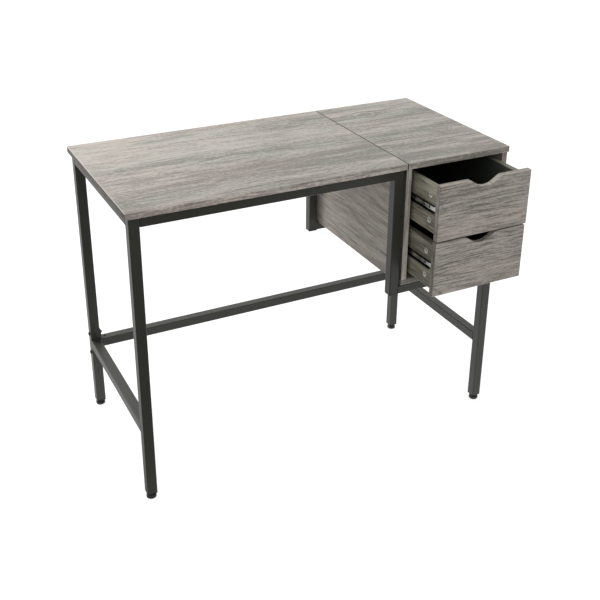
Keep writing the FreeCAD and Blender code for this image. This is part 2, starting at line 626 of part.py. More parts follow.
def top_board(label, width, x):
    """A top board with its upper edges and standing corners rounded."""
    piece = Piece(label, x, "places.front_y", "places.top_z")
    piece.pad("Z", [rectangle("0", "0", width, "sizes.table_depth")], THICK)
    edges = [("X", "0", THICK), ("X", "sizes.table_depth", THICK), ("Y", "0", THICK), ("Y", width, THICK)]
    edges += [("Z", "0", "0"), ("Z", width, "0"), ("Z", width, "sizes.table_depth"), ("Z", "0", "sizes.table_depth")]
    piece.fillet(edges, "sizes.top_edge_round")
    return piece.keep()


main_top = top_board("main_top", "places.main_width", "places.left_x")
main_holes = [(f"{x} - places.left_x", f"{y} - places.front_y", SCREW_HOLE) for x, y in top_screws]
main_top.cut("Z", main_holes, "sizes.screw_bite")
cabinet_top = top_board("cabinet_top", "sizes.cabinet_width", "places.cabinet_x")

# Carcass of the cabinet

DOWEL_HOLE = "sizes.dowel_diameter + 2 * sizes.dowel_slack"
DOWEL_XS = [f"{THICK} / 2", f"sizes.cabinet_width - {THICK} / 2"]
DOWEL_YS = ["sizes.dowel_inset", "places.panel_depth - sizes.dowel_inset"]
GROOVE_X = f"{THICK} - sizes.groove_depth"
GROOVE_RUN = "places.opening_width + 2 * sizes.groove_depth"
BACK_EDGE = "sizes.groove_depth - sizes.groove_slack"

carcass_bottom = Piece("cabinet_bottom", "places.cabinet_x", "places.panel_y", "places.base_top_z")
carcass_bottom.pad("Z", [rectangle("0", "0", "sizes.cabinet_width", "places.panel_depth")], THICK)
carcass_bottom.cut("Z", [(x, y, DOWEL_HOLE) for x in DOWEL_XS for y in DOWEL_YS], "sizes.dowel_in_board", THICK,
                   forward=False)
carcass_bottom.cut("Z", [rectangle(GROOVE_X, "places.back_groove_y", GROOVE_RUN, "places.back_groove")],
                   "sizes.groove_depth", THICK, forward=False)
base_holes = [(f"{x} - places.cabinet_x", f"{y} - places.panel_y", SCREW_HOLE) for x, y in base_screws]
carcass_bottom.cut("Z", base_holes, "sizes.screw_bite")
carcass_bottom.keep()

top_dowels = [(x, f"{y} + sizes.panel_front_inset", DOWEL_HOLE) for x in DOWEL_XS for y in DOWEL_YS]
cabinet_top.cut("Z", top_dowels, "sizes.dowel_in_board")
top_groove_y = "places.back_groove_y + sizes.panel_front_inset"
cabinet_top.cut("Z", [rectangle(GROOVE_X, top_groove_y, GROOVE_RUN, "places.back_groove")], "sizes.groove_depth")

SLIDE_HOLE = "sizes.slide_screw_diameter + 2 * sizes.slide_screw_slack"
SLIDE_SCREWS = ["places.slide_screw_front", "places.slide_screw_rear"]
SIDE_MIDDLE = "places.drawer_side_height / 2"
SLIDE_MIDDLE = f"{SIDE_MIDDLE} + sizes.slide_lift"
DRAWERS = ("upper", "lower")


def slide_level(drawer):
    """Height of a drawer's slides above the floor."""
    return f"places.{drawer}_front_z + sizes.drawer_side_lift + {SLIDE_MIDDLE}"


def side_panel(label, x, inner_on_right):
    """A carcass side with dowel holes in both ends, the back groove and the slide screw holes."""
    height = "sizes.cabinet_opening_height"
    piece = Piece(label, x, "places.panel_y", "places.cabinet_floor_z")
    piece.pad("X", [rectangle("0", "0", "places.panel_depth", height)], THICK)
    dowels = [(f"{THICK} / 2", y, DOWEL_HOLE) for y in DOWEL_YS]
    piece.cut("Z", dowels, "sizes.dowel_in_panel")
    piece.cut("Z", dowels, "sizes.dowel_in_panel", height, forward=False)
    inner = THICK if inner_on_right else "0"
    groove = rectangle("places.back_groove_y", "0", "places.back_groove", height)
    piece.cut("X", [groove], "sizes.groove_depth", inner, forward=not inner_on_right)
    holes = []
    for drawer in DRAWERS:
        level = f"{slide_level(drawer)} - places.cabinet_floor_z"
        holes += [(f"places.slide_y - places.panel_y + {spot}", level, SLIDE_HOLE) for spot in SLIDE_SCREWS]
    piece.cut("X", holes, "sizes.slide_screw_bite", inner, forward=not inner_on_right)
    return piece.keep()


side_panel("cabinet_left_panel", "places.cabinet_x", True)
side_panel("cabinet_right_panel", "places.panel_right_face", False)

back_y = "places.panel_y + places.back_groove_y + sizes.groove_slack"
carcass_back = Piece("cabinet_back", f"places.panel_left_face - ({BACK_EDGE})", back_y,
                     f"places.cabinet_floor_z - ({BACK_EDGE})")
carcass_back.pad("Y", [rectangle("0", "0", f"places.opening_width + 2 * ({BACK_EDGE})",
                                 f"sizes.cabinet_opening_height + 2 * ({BACK_EDGE})")], "sizes.back_thickness")
carcass_back.keep()

dowel = Piece("carcass_dowel")
dowel.pad("Z", [("0", "0", "sizes.dowel_diameter")], "sizes.dowel_in_panel + sizes.dowel_in_board")
dowel_items = []
for dowel_x in DOWEL_XS:
    for dowel_y in DOWEL_YS:
        spot_x = f"places.cabinet_x + {dowel_x}"
        spot_y = f"places.panel_y + {dowel_y}"
        low_z = "places.cabinet_floor_z - sizes.dowel_in_board"
        high_z = "places.top_z - sizes.dowel_in_panel"
        dowel_items.append((dowel.body, spot_x, spot_y, low_z, UPWARD))
        dowel_items.append((dowel.body, spot_x, spot_y, high_z, UPWARD))
group("cabinet_dowels", dowel_items)

# Masters of the drawer hardware

cam = Piece("cam_fitting").turn([
    ("0", "sizes.cam_recess_depth"),
    ("sizes.cam_recess_diameter / 2", "sizes.cam_recess_depth"),
    ("sizes.cam_recess_diameter / 2", "0"),
    ("sizes.cam_diameter / 2", "0"),
    ("sizes.cam_diameter / 2", "sizes.cam_depth"),
    ("0", "sizes.cam_depth"),
]).body
cam_bolt = Piece("cam_bolt")
CAM_BOLT_LENGTH = "sizes.cam_bolt_bite + sizes.cam_inset - sizes.cam_diameter / 2"
cam_bolt.pad("Z", [("0", "0", "sizes.cam_bolt_diameter")], CAM_BOLT_LENGTH)
ball = doc.addObject("Part::Sphere", "slide_ball")
ball.setExpression("Radius", "sizes.ball_diameter / 2")
drawer_slide_screw = screw_master("drawer_slide_screw", "sizes.slide_screw_diameter", "sizes.slide_screw_head",
                                  "sizes.slide_screw_head_height", "sizes.slide_steel + sizes.slide_screw_bite")
joint_screw = screw_master("joint_screw", "sizes.screw_diameter", "sizes.screw_head_diameter",
                           "sizes.screw_head_height", "sizes.joint_screw_length")
FLUSH_HEAD = "sizes.slide_screw_diameter + 2 * sizes.slide_steel"
COUNTERSINK = -45
flush_screw = Piece("flush_slide_screw").turn([
    ("0", "0"),
    (f"({FLUSH_HEAD}) / 2", "0"),
    ("sizes.slide_screw_diameter / 2", "sizes.slide_steel"),
    ("sizes.slide_screw_diameter / 2", "sizes.slide_steel + sizes.slide_screw_bite"),
    ("0", "sizes.slide_steel + sizes.slide_screw_bite"),
]).body

# Slides

OUTER_BEND = "sizes.ball_row + places.outer_bend"
OUTER_RACE = "sizes.ball_row + places.race_bend"
INNER_BEND = "sizes.ball_row - places.outer_bend"
INNER_RACE = "sizes.ball_row - places.race_bend"
WEB_FACE = "sizes.slide_space - sizes.slide_steel"


def mirrored(points):
    """Close an outline that is given for its upper half with the mirrored lower half."""
    return points + [(x, f"-({y})") for x, y in reversed(points)]


def cabinet_member(label, x, z, turn):
    """The C-shaped member on the cabinet panel; its curled flanges are the outer races."""
    piece = Piece(label, x, "places.slide_y", z, turn)
    upper = [
        ("sizes.slide_steel", "places.outer_race"),
        (OUTER_RACE, "places.outer_race"),
        (f"{OUTER_RACE} + places.race_run", "places.outer_race - places.race_run"),
        (f"{OUTER_BEND} + places.outer_run", "places.outer_half - places.outer_run"),
        (OUTER_BEND, "places.outer_half"),
        ("0", "places.outer_half"),
    ]
    piece.pad("Y", [mirrored(upper)], "sizes.slide_length")
    piece.fillet([("Y", OUTER_BEND, f"{sign}places.outer_half") for sign in ("", "-")], "places.bend_round")
    piece.fillet([("Y", OUTER_RACE, f"{sign}places.outer_race") for sign in ("", "-")], "places.race_round")
    piece.cut("X", [(spot, "0", f"{FLUSH_HEAD} + 2 * sizes.slide_screw_slack") for spot in SLIDE_SCREWS],
              "sizes.slide_steel", "sizes.slide_steel", forward=False, taper=COUNTERSINK)
    return piece.keep()


def drawer_member(label, x, y, z, turn):
    """The member on the drawer side; its flanges curl outward into the inner races."""
    piece = Piece(label, x, y, z, turn)
    upper = [
        (WEB_FACE, "places.inner_flange"),
        (INNER_BEND, "places.inner_flange"),
        (f"{INNER_BEND} - places.outer_run", "places.inner_flange + places.outer_run"),
        (f"{INNER_RACE} - places.race_run", "places.inner_race + places.race_run"),
        (INNER_RACE, "places.inner_race"),
        ("sizes.slide_space", "places.inner_race"),
    ]
    piece.pad("Y", [mirrored(upper)], "sizes.slide_length")
    piece.fillet([("Y", INNER_RACE, f"{sign}places.inner_race") for sign in ("", "-")], "places.race_round")
    piece.fillet([("Y", INNER_BEND, f"{sign}places.inner_flange") for sign in ("", "-")], "places.bend_round")
    bare = rectangle("0", "-places.outer_half", WEB_FACE, "sizes.slide_height")
    piece.cut("Y", [bare], "sizes.tongue_length")
    piece.fillet([("X", "0", f"{sign}places.inner_race") for sign in ("", "-")], "sizes.tongue_round")
    holes = [(spot, "0", SLIDE_HOLE) for spot in SLIDE_SCREWS]
    holes.append(("sizes.access_hole_inset", "0", "sizes.access_hole"))
    piece.cut("X", holes)
    return piece.keep()


def ball_cage(label, x, y, z, turn, side):
    """The U-shaped cage with its two rows of balls as one node."""
    strip = Piece(f"{label}_strip", x, y, z, turn)
    upper = [
        ("places.cage_web + sizes.cage_steel", "places.cage_low"),
        ("places.cage_edge", "places.cage_low"),
        ("places.cage_edge", "places.cage_high"),
        ("places.cage_web", "places.cage_high"),
    ]
    strip.pad("Y", [mirrored(upper)], "sizes.cage_length")
    spots = []
    for number in range(BALLS_PER_ROW):
        steps = number - (BALLS_PER_ROW - 1) / 2
        spots.append(f"sizes.cage_length / 2 + {steps} * sizes.ball_pitch")
    hole = "sizes.ball_diameter + 2 * sizes.cage_slack"
    strip.cut("Z", [("sizes.ball_row", spot, hole) for spot in spots], None, "-places.outer_half")
    row_x = f"{x} {side} sizes.ball_row"
    items = []
    for spot in spots:
        for sign in "-+":
            items.append((ball, row_x, f"{y} + {spot}", f"{z} {sign} places.ball_height", UPWARD))
    group(label, items, [strip.body])


# Drawers

FRONT_MIDDLE = "places.front_width / 2"
SCOOP_TOP = "sizes.scoop_width / 2"
SCOOP_LOW = "sizes.scoop_floor / 2"
SCOOP_Z = "places.front_height - sizes.scoop_depth"
SIDE_IN_FRONT = "places.drawer_left_x - places.panel_left_face - sizes.front_side_gap"
CAM_BOLT_HOLE = "sizes.cam_bolt_diameter + 2 * sizes.cam_bolt_slack"
CAM_LEVELS = [f"{SIDE_MIDDLE} {sign} sizes.cam_spacing / 2" for sign in "-+"]
BACK_HEIGHT = "places.drawer_side_height - places.drawer_back_lift"
JOINT_LEVELS = [f"({BACK_HEIGHT}) / 2 {sign} sizes.joint_screw_spacing / 2" for sign in "-+"]
JOINT_Y = f"sizes.drawer_length - {THICK} / 2"
BOTTOM_EDGE = "sizes.groove_depth - sizes.groove_slack"


def drawer_front(label, y, z):
    """An inset front with a finger scoop, bores for the cam bolts and a groove for the bottom."""
    piece = Piece(label, "places.panel_left_face + sizes.front_side_gap", y, z)
    outline = [
        ("0", "0"),
        ("places.front_width", "0"),
        ("places.front_width", "places.front_height"),
        (f"{FRONT_MIDDLE} + {SCOOP_TOP}", "places.front_height"),
        (f"{FRONT_MIDDLE} + {SCOOP_LOW}", SCOOP_Z),
        (f"{FRONT_MIDDLE} - {SCOOP_LOW}", SCOOP_Z),
        (f"{FRONT_MIDDLE} - {SCOOP_TOP}", "places.front_height"),
        ("0", "places.front_height"),
    ]
    piece.pad("Y", [outline], THICK)
    piece.fillet([("Y", f"{FRONT_MIDDLE} {sign} {SCOOP_LOW}", SCOOP_Z) for sign in "-+"],
                 "sizes.scoop_floor_round")
    piece.fillet([("Y", f"{FRONT_MIDDLE} {sign} {SCOOP_TOP}", "places.front_height") for sign in "-+"],
                 "sizes.scoop_corner_round")
    piece.fillet_front("sizes.front_edge_round")
    first = f"{SIDE_IN_FRONT} + {THICK} / 2"
    second = f"places.front_width - ({first})"
    bores = []
    for x in (first, second):
        bores += [(x, f"sizes.drawer_side_lift + {level}", CAM_BOLT_HOLE) for level in CAM_LEVELS]
    piece.cut("Y", bores, "sizes.cam_bolt_bite", THICK, forward=False)
    groove = rectangle(f"{SIDE_IN_FRONT} + {THICK} - sizes.groove_depth",
                       "sizes.drawer_side_lift + sizes.drawer_bottom_lift",
                       "places.drawer_inner_width + 2 * sizes.groove_depth", "places.bottom_groove")
    piece.cut("Y", [groove], "sizes.groove_depth", THICK, forward=False)
    return piece.keep()


def drawer_side(label, x, y, z, outer_on_left):
    """A drawer side with cam bores, cam bolt bores, slide and joint screw holes and the bottom groove."""
    piece = Piece(label, x, y, z)
    piece.pad("X", [rectangle("0", "0", "sizes.drawer_length", "places.drawer_side_height")], THICK)
    outer = "0" if outer_on_left else THICK
    inner = THICK if outer_on_left else "0"
    cams = [("sizes.cam_inset", level, "sizes.cam_diameter + 2 * sizes.cam_slack") for level in CAM_LEVELS]
    piece.cut("X", cams, "sizes.cam_depth", outer, forward=outer_on_left)
    pilots = [(f"sizes.slide_setback + {spot}", SLIDE_MIDDLE, SLIDE_HOLE) for spot in SLIDE_SCREWS]
    piece.cut("X", pilots, "sizes.slide_screw_bite", outer, forward=outer_on_left)
    joints = [(JOINT_Y, f"places.drawer_back_lift + {level}", SCREW_HOLE) for level in JOINT_LEVELS]
    piece.cut("X", joints)
    groove = rectangle("0", "sizes.drawer_bottom_lift", "sizes.drawer_length", "places.bottom_groove")
    piece.cut("X", [groove], "sizes.groove_depth", inner, forward=not outer_on_left)
    bolts = [(f"{THICK} / 2", level, CAM_BOLT_HOLE) for level in CAM_LEVELS]
    piece.cut("Y", bolts, "sizes.cam_inset")
    return piece.keep()


def drawer_back(label, y, z):
    """The back board, which stands on the bottom panel."""
    piece = Piece(label, f"places.drawer_left_x + {THICK}", y, z)
    piece.pad("Y", [rectangle("0", "0", "places.drawer_inner_width", BACK_HEIGHT)], THICK)
    holes = [(f"{THICK} / 2", level, SCREW_HOLE) for level in JOINT_LEVELS]
    depth = f"sizes.joint_screw_length - {THICK}"
    piece.cut("X", holes, depth)
    piece.cut("X", holes, depth, "places.drawer_inner_width", forward=False)
    return piece.keep()


def drawer_bottom(label, y, z):
    """The thin bottom that rests in the grooves of the front and the sides."""
    piece = Piece(label, f"places.drawer_left_x + {THICK} - ({BOTTOM_EDGE})", f"{y} - ({BOTTOM_EDGE})", z)
    outline = rectangle("0", "0", f"places.drawer_inner_width + 2 * ({BOTTOM_EDGE})",
                        f"sizes.drawer_length + {BOTTOM_EDGE}")
    piece.pad("Z", [outline], "sizes.drawer_bottom_thickness")
    return piece.keep()


def drawer(name):
    """Everything that belongs to one drawer, its hardware and its two slides."""
    front_y = f"places.{name}_front_y"
    front_z = f"places.{name}_front_z"
    side_y = f"{front_y} + {THICK}"
    side_z = f"{front_z} + sizes.drawer_side_lift"
    level = slide_level(name)
    left = "places.drawer_left_x"
    right = "places.drawer_right_x"
    drawer_front(f"{name}_drawer_front", front_y, front_z)
    drawer_side(f"{name}_drawer_left_side", left, side_y, side_z, True)
    drawer_side(f"{name}_drawer_right_side", f"{right} - {THICK}", side_y, side_z, False)
    drawer_back(f"{name}_drawer_back", f"{side_y} + sizes.drawer_length - {THICK}",
                f"{side_z} + places.drawer_back_lift")
    drawer_bottom(f"{name}_drawer_bottom", side_y, f"{side_z} + sizes.drawer_bottom_lift + sizes.groove_slack")

    cam_y = f"{side_y} + sizes.cam_inset"
    bolt_rear = f"{cam_y} - sizes.cam_diameter / 2"
    fittings = []
    for cam_level in CAM_LEVELS:
        cam_z = f"{side_z} + {cam_level}"
        fittings.append((cam, left, cam_y, cam_z, TO_RIGHT))
        fittings.append((cam, right, cam_y, cam_z, TO_LEFT))
        fittings.append((cam_bolt.body, f"{left} + {THICK} / 2", bolt_rear, cam_z, TO_FRONT))
        fittings.append((cam_bolt.body, f"{right} - {THICK} / 2", bolt_rear, cam_z, TO_FRONT))
    group(f"{name}_drawer_cam_fittings", fittings)

    screws = []
    for spot in SLIDE_SCREWS:
        screw_y = f"{side_y} + sizes.slide_setback + {spot}"
        screws.append((drawer_slide_screw, f"{left} - sizes.slide_steel", screw_y, level, TO_RIGHT))
        screws.append((drawer_slide_screw, f"{right} + sizes.slide_steel", screw_y, level, TO_LEFT))
    for joint_level in JOINT_LEVELS:
        joint_z = f"{side_z} + places.drawer_back_lift + {joint_level}"
        screws.append((joint_screw, left, f"{side_y} + {JOINT_Y}", joint_z, TO_RIGHT))
        screws.append((joint_screw, right, f"{side_y} + {JOINT_Y}", joint_z, TO_LEFT))
    group(f"{name}_drawer_screws", screws)

    member_y = f"{side_y} + sizes.slide_setback"
    cage_y = f"places.slide_y + sizes.slide_length / 2 - sizes.cage_length / 2 - sizes.{name}_opening / 2"
    hands = (("left", "places.panel_left_face", UPWARD, "+"), ("right", "places.panel_right_face", HALF_TURN, "-"))
    for hand, face, turn, side in hands:
        cabinet_member(f"{name}_{hand}_cabinet_member", face, level, turn)
        drawer_member(f"{name}_{hand}_drawer_member", face, member_y, level, turn)
        ball_cage(f"{name}_{hand}_ball_cage", face, cage_y, level, turn, side)


for drawer_name in DRAWERS:
    drawer(drawer_name)

cabinet_screw_items = []
for drawer_name in DRAWERS:
    screw_level = slide_level(drawer_name)
    for spot in SLIDE_SCREWS:
        screw_y = f"places.slide_y + {spot}"
        left_x = "places.panel_left_face + sizes.slide_steel"
        right_x = "places.panel_right_face - sizes.slide_steel"
        cabinet_screw_items.append((flush_screw, left_x, screw_y, screw_level, TO_LEFT))
        cabinet_screw_items.append((flush_screw, right_x, screw_y, screw_level, TO_RIGHT))
group("cabinet_slide_screws", cabinet_screw_items)

# Checks and the files

doc.recompute()
for item in doc.Objects:
    if "Invalid" in item.State or "Error" in item.State:
        raise RuntimeError(f"{item.Label} did not recompute: {item.State}")
os.makedirs("parts", exist_ok=True)
for label, item in nodes.items():
    if item.Shape.isNull() or not item.Shape.isValid():
        raise RuntimeError(f"{label} has no valid shape")
    item.Shape.exportStep(f"parts/{label}.step")
print(len(nodes), "pieces written")
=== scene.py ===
"""Looks of a work table: a tube frame, wood-print boards and a two-drawer cabinet on ball slides."""

import itertools
import logging
import math
from abc import ABC, abstractmethod
from dataclasses import dataclass, field, replace
from enum import Enum
from typing import Any, Iterable, Union

import bmesh
import bpy
from mathutils import Matrix, Vector


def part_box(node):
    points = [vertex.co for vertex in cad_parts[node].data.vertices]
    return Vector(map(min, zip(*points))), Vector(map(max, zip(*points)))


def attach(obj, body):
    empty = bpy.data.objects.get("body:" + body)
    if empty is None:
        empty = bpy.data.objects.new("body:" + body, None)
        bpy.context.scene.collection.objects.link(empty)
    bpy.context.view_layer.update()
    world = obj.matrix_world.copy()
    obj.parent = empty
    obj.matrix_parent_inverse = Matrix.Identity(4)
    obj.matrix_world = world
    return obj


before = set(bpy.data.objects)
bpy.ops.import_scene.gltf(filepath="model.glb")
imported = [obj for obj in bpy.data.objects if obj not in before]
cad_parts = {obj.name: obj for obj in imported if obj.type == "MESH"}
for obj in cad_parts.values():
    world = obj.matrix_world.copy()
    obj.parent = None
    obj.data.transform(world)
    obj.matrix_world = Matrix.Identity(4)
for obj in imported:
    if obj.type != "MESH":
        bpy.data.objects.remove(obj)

log = logging.getLogger("work_table")

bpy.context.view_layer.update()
MILLIMETRE = 0.001
NOISE_MIDDLE = 0.5
Colour = tuple[float, float, float]
Point = tuple[float, float, float]
Span = tuple[float, float]
Number = Union[float, "Signal"]
Place = tuple["Signal", "Signal", "Signal"]


def paint(red: int, green: int, blue: int) -> Colour:
    """Turn a colour as seen on a screen into the light values that a shader takes, by the sRGB curve.

    Args:
        red: Red from 0 to 255.
        green: Green from 0 to 255.
        blue: Blue from 0 to 255.

    Returns:
        The colour in linear light.
    """
    shares = (red / 255, green / 255, blue / 255)
    return tuple(s / 12.92 if s <= 0.04045 else ((s + 0.055) / 1.055) ** 2.4 for s in shares)


class Axis(Enum):
    """Directions of the part's frame, as the place of a coordinate in a vector."""

    X = 0
    Y = 1
    Z = 2


class Signal:
    """A node's output that can be used in Python arithmetic."""

    def __init__(self, tree: "NodeTree", socket: bpy.types.NodeSocket) -> None:
        """Wrap one output socket of a tree."""
        self.tree = tree
        self.socket = socket

    def math(self, operation: str, first: Number, second: Number = 0.0) -> "Signal":
        """Result of a Math node with one or two values."""
        return self.tree.node("ShaderNodeMath", {"operation": operation}, {0: first, 1: second})

    def __add__(self, other: Number) -> "Signal":
        """Sum of two values."""
        return self.math("ADD", self, other)

    def __radd__(self, other: Number) -> "Signal":
        """Sum with a number on the left."""
        return self.math("ADD", other, self)

    def __sub__(self, other: Number) -> "Signal":
        """Difference of two values."""
        return self.math("SUBTRACT", self, other)

    def __rsub__(self, other: Number) -> "Signal":
        """Difference with a number on the left."""
        return self.math("SUBTRACT", other, self)

    def __mul__(self, other: Number) -> "Signal":
        """Product of two values."""
        return self.math("MULTIPLY", self, other)

    def __rmul__(self, other: Number) -> "Signal":
        """Product with a number on the left."""
        return self.math("MULTIPLY", other, self)

    def __rtruediv__(self, other: Number) -> "Signal":
        """Quotient with a number on the left."""
        return self.math("DIVIDE", other, self)

    def __gt__(self, other: Number) -> "Signal":
        """One where the first value is larger, and zero elsewhere."""
        return self.math("GREATER_THAN", self, other)

    def __lt__(self, other: Number) -> "Signal":
        """One where the first value is smaller, and zero elsewhere."""
        return self.math("LESS_THAN", self, other)

    def __abs__(self) -> "Signal":
        """Size of a value without its sign."""
        return self.math("ABSOLUTE", self)

    @property
    def centred(self) -> "Signal":
        """Noise moved so that it lies around zero."""
        return self - NOISE_MIDDLE


class NodeTree:
    """A shader or geometry tree whose nodes all come from one method."""

    def __init__(self, tree: bpy.types.NodeTree) -> None:
        """Take over an empty tree."""
        self.tree = tree

    def node(self, kind: str, settings: dict[str, Any] | None = None,
             inputs: dict[Union[int, str], Any] | None = None, out: Union[int, str] = 0) -> Signal:
        """Add any node.

        Args:
            kind: Type name of the node.
            settings: Properties that are set first; stops holds the stops of a colour ramp.
            inputs: Values or signals for the sockets, by name or number.
            out: Output to return, by name or number.

        Returns:
            The chosen output as a signal.
        """
        made = self.tree.nodes.new(kind)
        for name, setting in (settings or {}).items():
            if name == "stops":
                self.set_stops(made.color_ramp, setting)
            else:
                setattr(made, name, setting)
        for name, given in (inputs or {}).items():
            self.feed(made.inputs[name], given)
        return Signal(self, made.outputs[out])

    def feed(self, socket: bpy.types.NodeSocket, given: Any) -> None:
        """Link a signal to a socket, or set a plain value on it.

        Args:
            socket: Input socket of a node.
            given: Signal or plain value for it.
        """
        if isinstance(given, Signal):
            self.tree.links.new(given.socket, socket)
        elif isinstance(given, (list, tuple)) and socket.type == "RGBA" and len(given) == 3:
            socket.default_value = (*given, 1.0)
        else:
            socket.default_value = given

    @staticmethod
    def set_stops(ramp: bpy.types.ColorRamp, stops: Iterable[tuple[float, Colour]]) -> None:
        """Give a colour ramp its stops.

        Args:
            ramp: Colour ramp of a node.
            stops: Position and colour of each stop.
        """
        listed = list(stops)
        while len(ramp.elements) < len(listed):
            ramp.elements.new(1.0)
        for element, (position, colour) in zip(ramp.elements, listed):
            element.position = position
            element.color = (*colour, 1.0)


class Shader(NodeTree):
    """The tree of one material, with the helpers that the finishes share."""

    def __init__(self, name: str) -> None:
        """Make an empty material.

        Args:
            name: Name of the material.
        """
        self.material = bpy.data.materials.new(name)
        self.material.use_nodes = True
        super().__init__(self.material.node_tree)
        self.tree.nodes.clear()

    def split(self, vector: Signal) -> list[Signal]:
        """Take a vector apart."""
        return [self.node("ShaderNodeSeparateXYZ", {}, {0: vector}, number) for number in range(3)]

    def place(self) -> list[Signal]:
        """Position on the piece in metres, along the part's three axes."""
        return self.split(self.node("ShaderNodeTexCoord", {}, {}, "Object"))

    def facing(self) -> list[Signal]:
        """Direction that the surface looks in, along the part's three axes."""
        return self.split(self.node("ShaderNodeTexCoord", {}, {}, "Normal"))

    def noise(self, vector: Iterable[Number], detail: float = 2.0, rough: float = 0.5) -> Signal:
        """Noise from 0 to 1 over scaled coordinates, with finer layers and their share."""
        spot = self.node("ShaderNodeCombineXYZ", {}, dict(enumerate(vector)))
        return self.node("ShaderNodeTexNoise", {"noise_dimensions": "3D"},
                         {"Vector": spot, "Scale": 1.0, "Detail": detail, "Roughness": rough})

    def stretched_noise(self, scale: Point, detail: float = 2.0, rough: float = 0.5) -> Signal:
        """Noise over the position on the piece, with its own turns per metre along each axis."""
        spot = [part * turns for part, turns in zip(self.place(), scale)]
        return self.noise(spot, detail, rough)

    def even_noise(self, per_metre: float, detail: float = 2.0, rough: float = 0.5) -> Signal:
        """Noise over the position on the piece, with the same turns per metre along all axes."""
        return self.stretched_noise((per_metre, per_metre, per_metre), detail, rough)

    def rescale(self, value: Signal, span: Span, to: Span = (0.0, 1.0)) -> Signal:
        """Map a value from one span to another, and hold it inside."""
        return self.node("ShaderNodeMapRange", {}, {0: value, 1: span[0], 2: span[1], 3: to[0], 4: to[1]})

    def zigzag(self, value: Signal, height: float = 0.5) -> Signal:
        """Fold a value so that it runs up and down between zero and a height."""
        return value.math("PINGPONG", value, height)

    def ramp(self, factor: Signal, stops: Iterable[tuple[float, Colour]]) -> Signal:
        """Colours along a value."""
        return self.node("ShaderNodeValToRGB", {"stops": stops}, {0: factor})

    def between(self, low: Number, high: Number, factor: Number) -> Signal:
        """Blend of two values."""
        return self.node("ShaderNodeMix", {"data_type": "FLOAT"}, {0: factor, 2: low, 3: high})

    def blend(self, low: Any, high: Any, factor: Number, mode: str = "MIX") -> Signal:
        """Blend of two colours by the share of the second one."""
        settings = {"data_type": "RGBA", "blend_type": mode}
        return self.node("ShaderNodeMix", settings, {0: factor, 6: low, 7: high}, 2)

    def bump(self, height: Signal, strength: float, depth: float) -> Signal:
        """Surface direction that follows a height."""
        return self.node("ShaderNodeBump", {}, {"Height": height, "Strength": strength, "Distance": depth})

    def surface(self, inputs: dict[str, Any]) -> bpy.types.Material:
        """Close the tree with a Principled surface.

        Args:
            inputs: Values or signals for its sockets.

        Returns:
            The finished material.
        """
        shader = self.node("ShaderNodeBsdfPrincipled", {}, inputs)
        self.node_output(shader)
        return self.material

    def node_output(self, shader: Signal) -> None:
        """Link a shader to the material's surface."""
        end = self.tree.nodes.new("ShaderNodeOutputMaterial")
        self.tree.links.new(shader.socket, end.inputs["Surface"])


def scaled(colour: Colour, gain: float) -> Colour:
    """The colour made lighter or darker."""
    return tuple(gain * part for part in colour)


class Finish(ABC):
    """A finish that pieces can be dressed in."""

    @abstractmethod
    def sockets(self, shader: Shader) -> dict[str, Any]:
        """Set up colour, gloss and texture.

        Args:
            shader: Tree to work in.

        Returns:
            Values and signals for the sockets of the surface.
        """

    def make(self, name: str) -> bpy.types.Material:
        """Build the material under a name."""
        shader = Shader(name)
        return shader.surface(self.sockets(shader))


@dataclass(frozen=True)
class PowderCoat(Finish):
    """Charcoal powder coat with a fine texture."""

    colour: Colour = paint(51, 51, 45)
    contrast: float = 0.18
    index: float = 1.5
    roughness: float = 0.40
    roughness_spread: float = 0.16
    specks_per_metre: float = 950.0
    clouds_per_metre: float = 9.0
    speck_share: float = 0.7
    bump_strength: float = 0.10
    bump_depth: float = 0.12 * MILLIMETRE

    def sockets(self, shader: Shader) -> dict[str, Any]:
        """Set up colour, gloss and texture.

        Args:
            shader: Tree to work in.

        Returns:
            Values and signals for the sockets of the surface.
        """
        speck = shader.even_noise(self.specks_per_metre, rough=0.6)
        cloud = shader.even_noise(self.clouds_per_metre)
        mixed = speck * self.speck_share + cloud * (1.0 - self.speck_share)
        dark = scaled(self.colour, 1.0 - self.contrast)
        pale = scaled(self.colour, 1.0 + self.contrast)
        colour = shader.ramp(mixed, [(0.3, dark), (0.7, pale)])
        roughness = self.roughness + speck.centred * self.roughness_spread
        return {"Base Color": colour, "Roughness": roughness, "IOR": self.index,
                "Normal": shader.bump(speck, self.bump_strength, self.bump_depth)}


@dataclass(frozen=True)
class Lining:
    """A dark part of a board: the dark inner lining of the drawer boards, and painted shade in the gap beside
    the upright and in the seam between the tops.

    It is the region beyond some levels, each an axis, a value and whether the side above the value counts.
    """

    levels: tuple[tuple[Axis, float, bool], ...]
    # Near-black: the real lining inside the drawers, and painted shade where a lining marks a gap or a seam.
    colour: Colour = paint(70, 74, 65)

    def inside(self, shader: Shader) -> Signal:
        """One in the region and zero elsewhere.

        Args:
            shader: Tree to work in.

        Returns:
            The region as a signal.
        """
        place = shader.place()
        region = None
        for axis, level, above in self.levels:
            spot = place[axis.value]
            beyond = spot > level if above else spot < level
            region = beyond if region is None else region * beyond
        return region


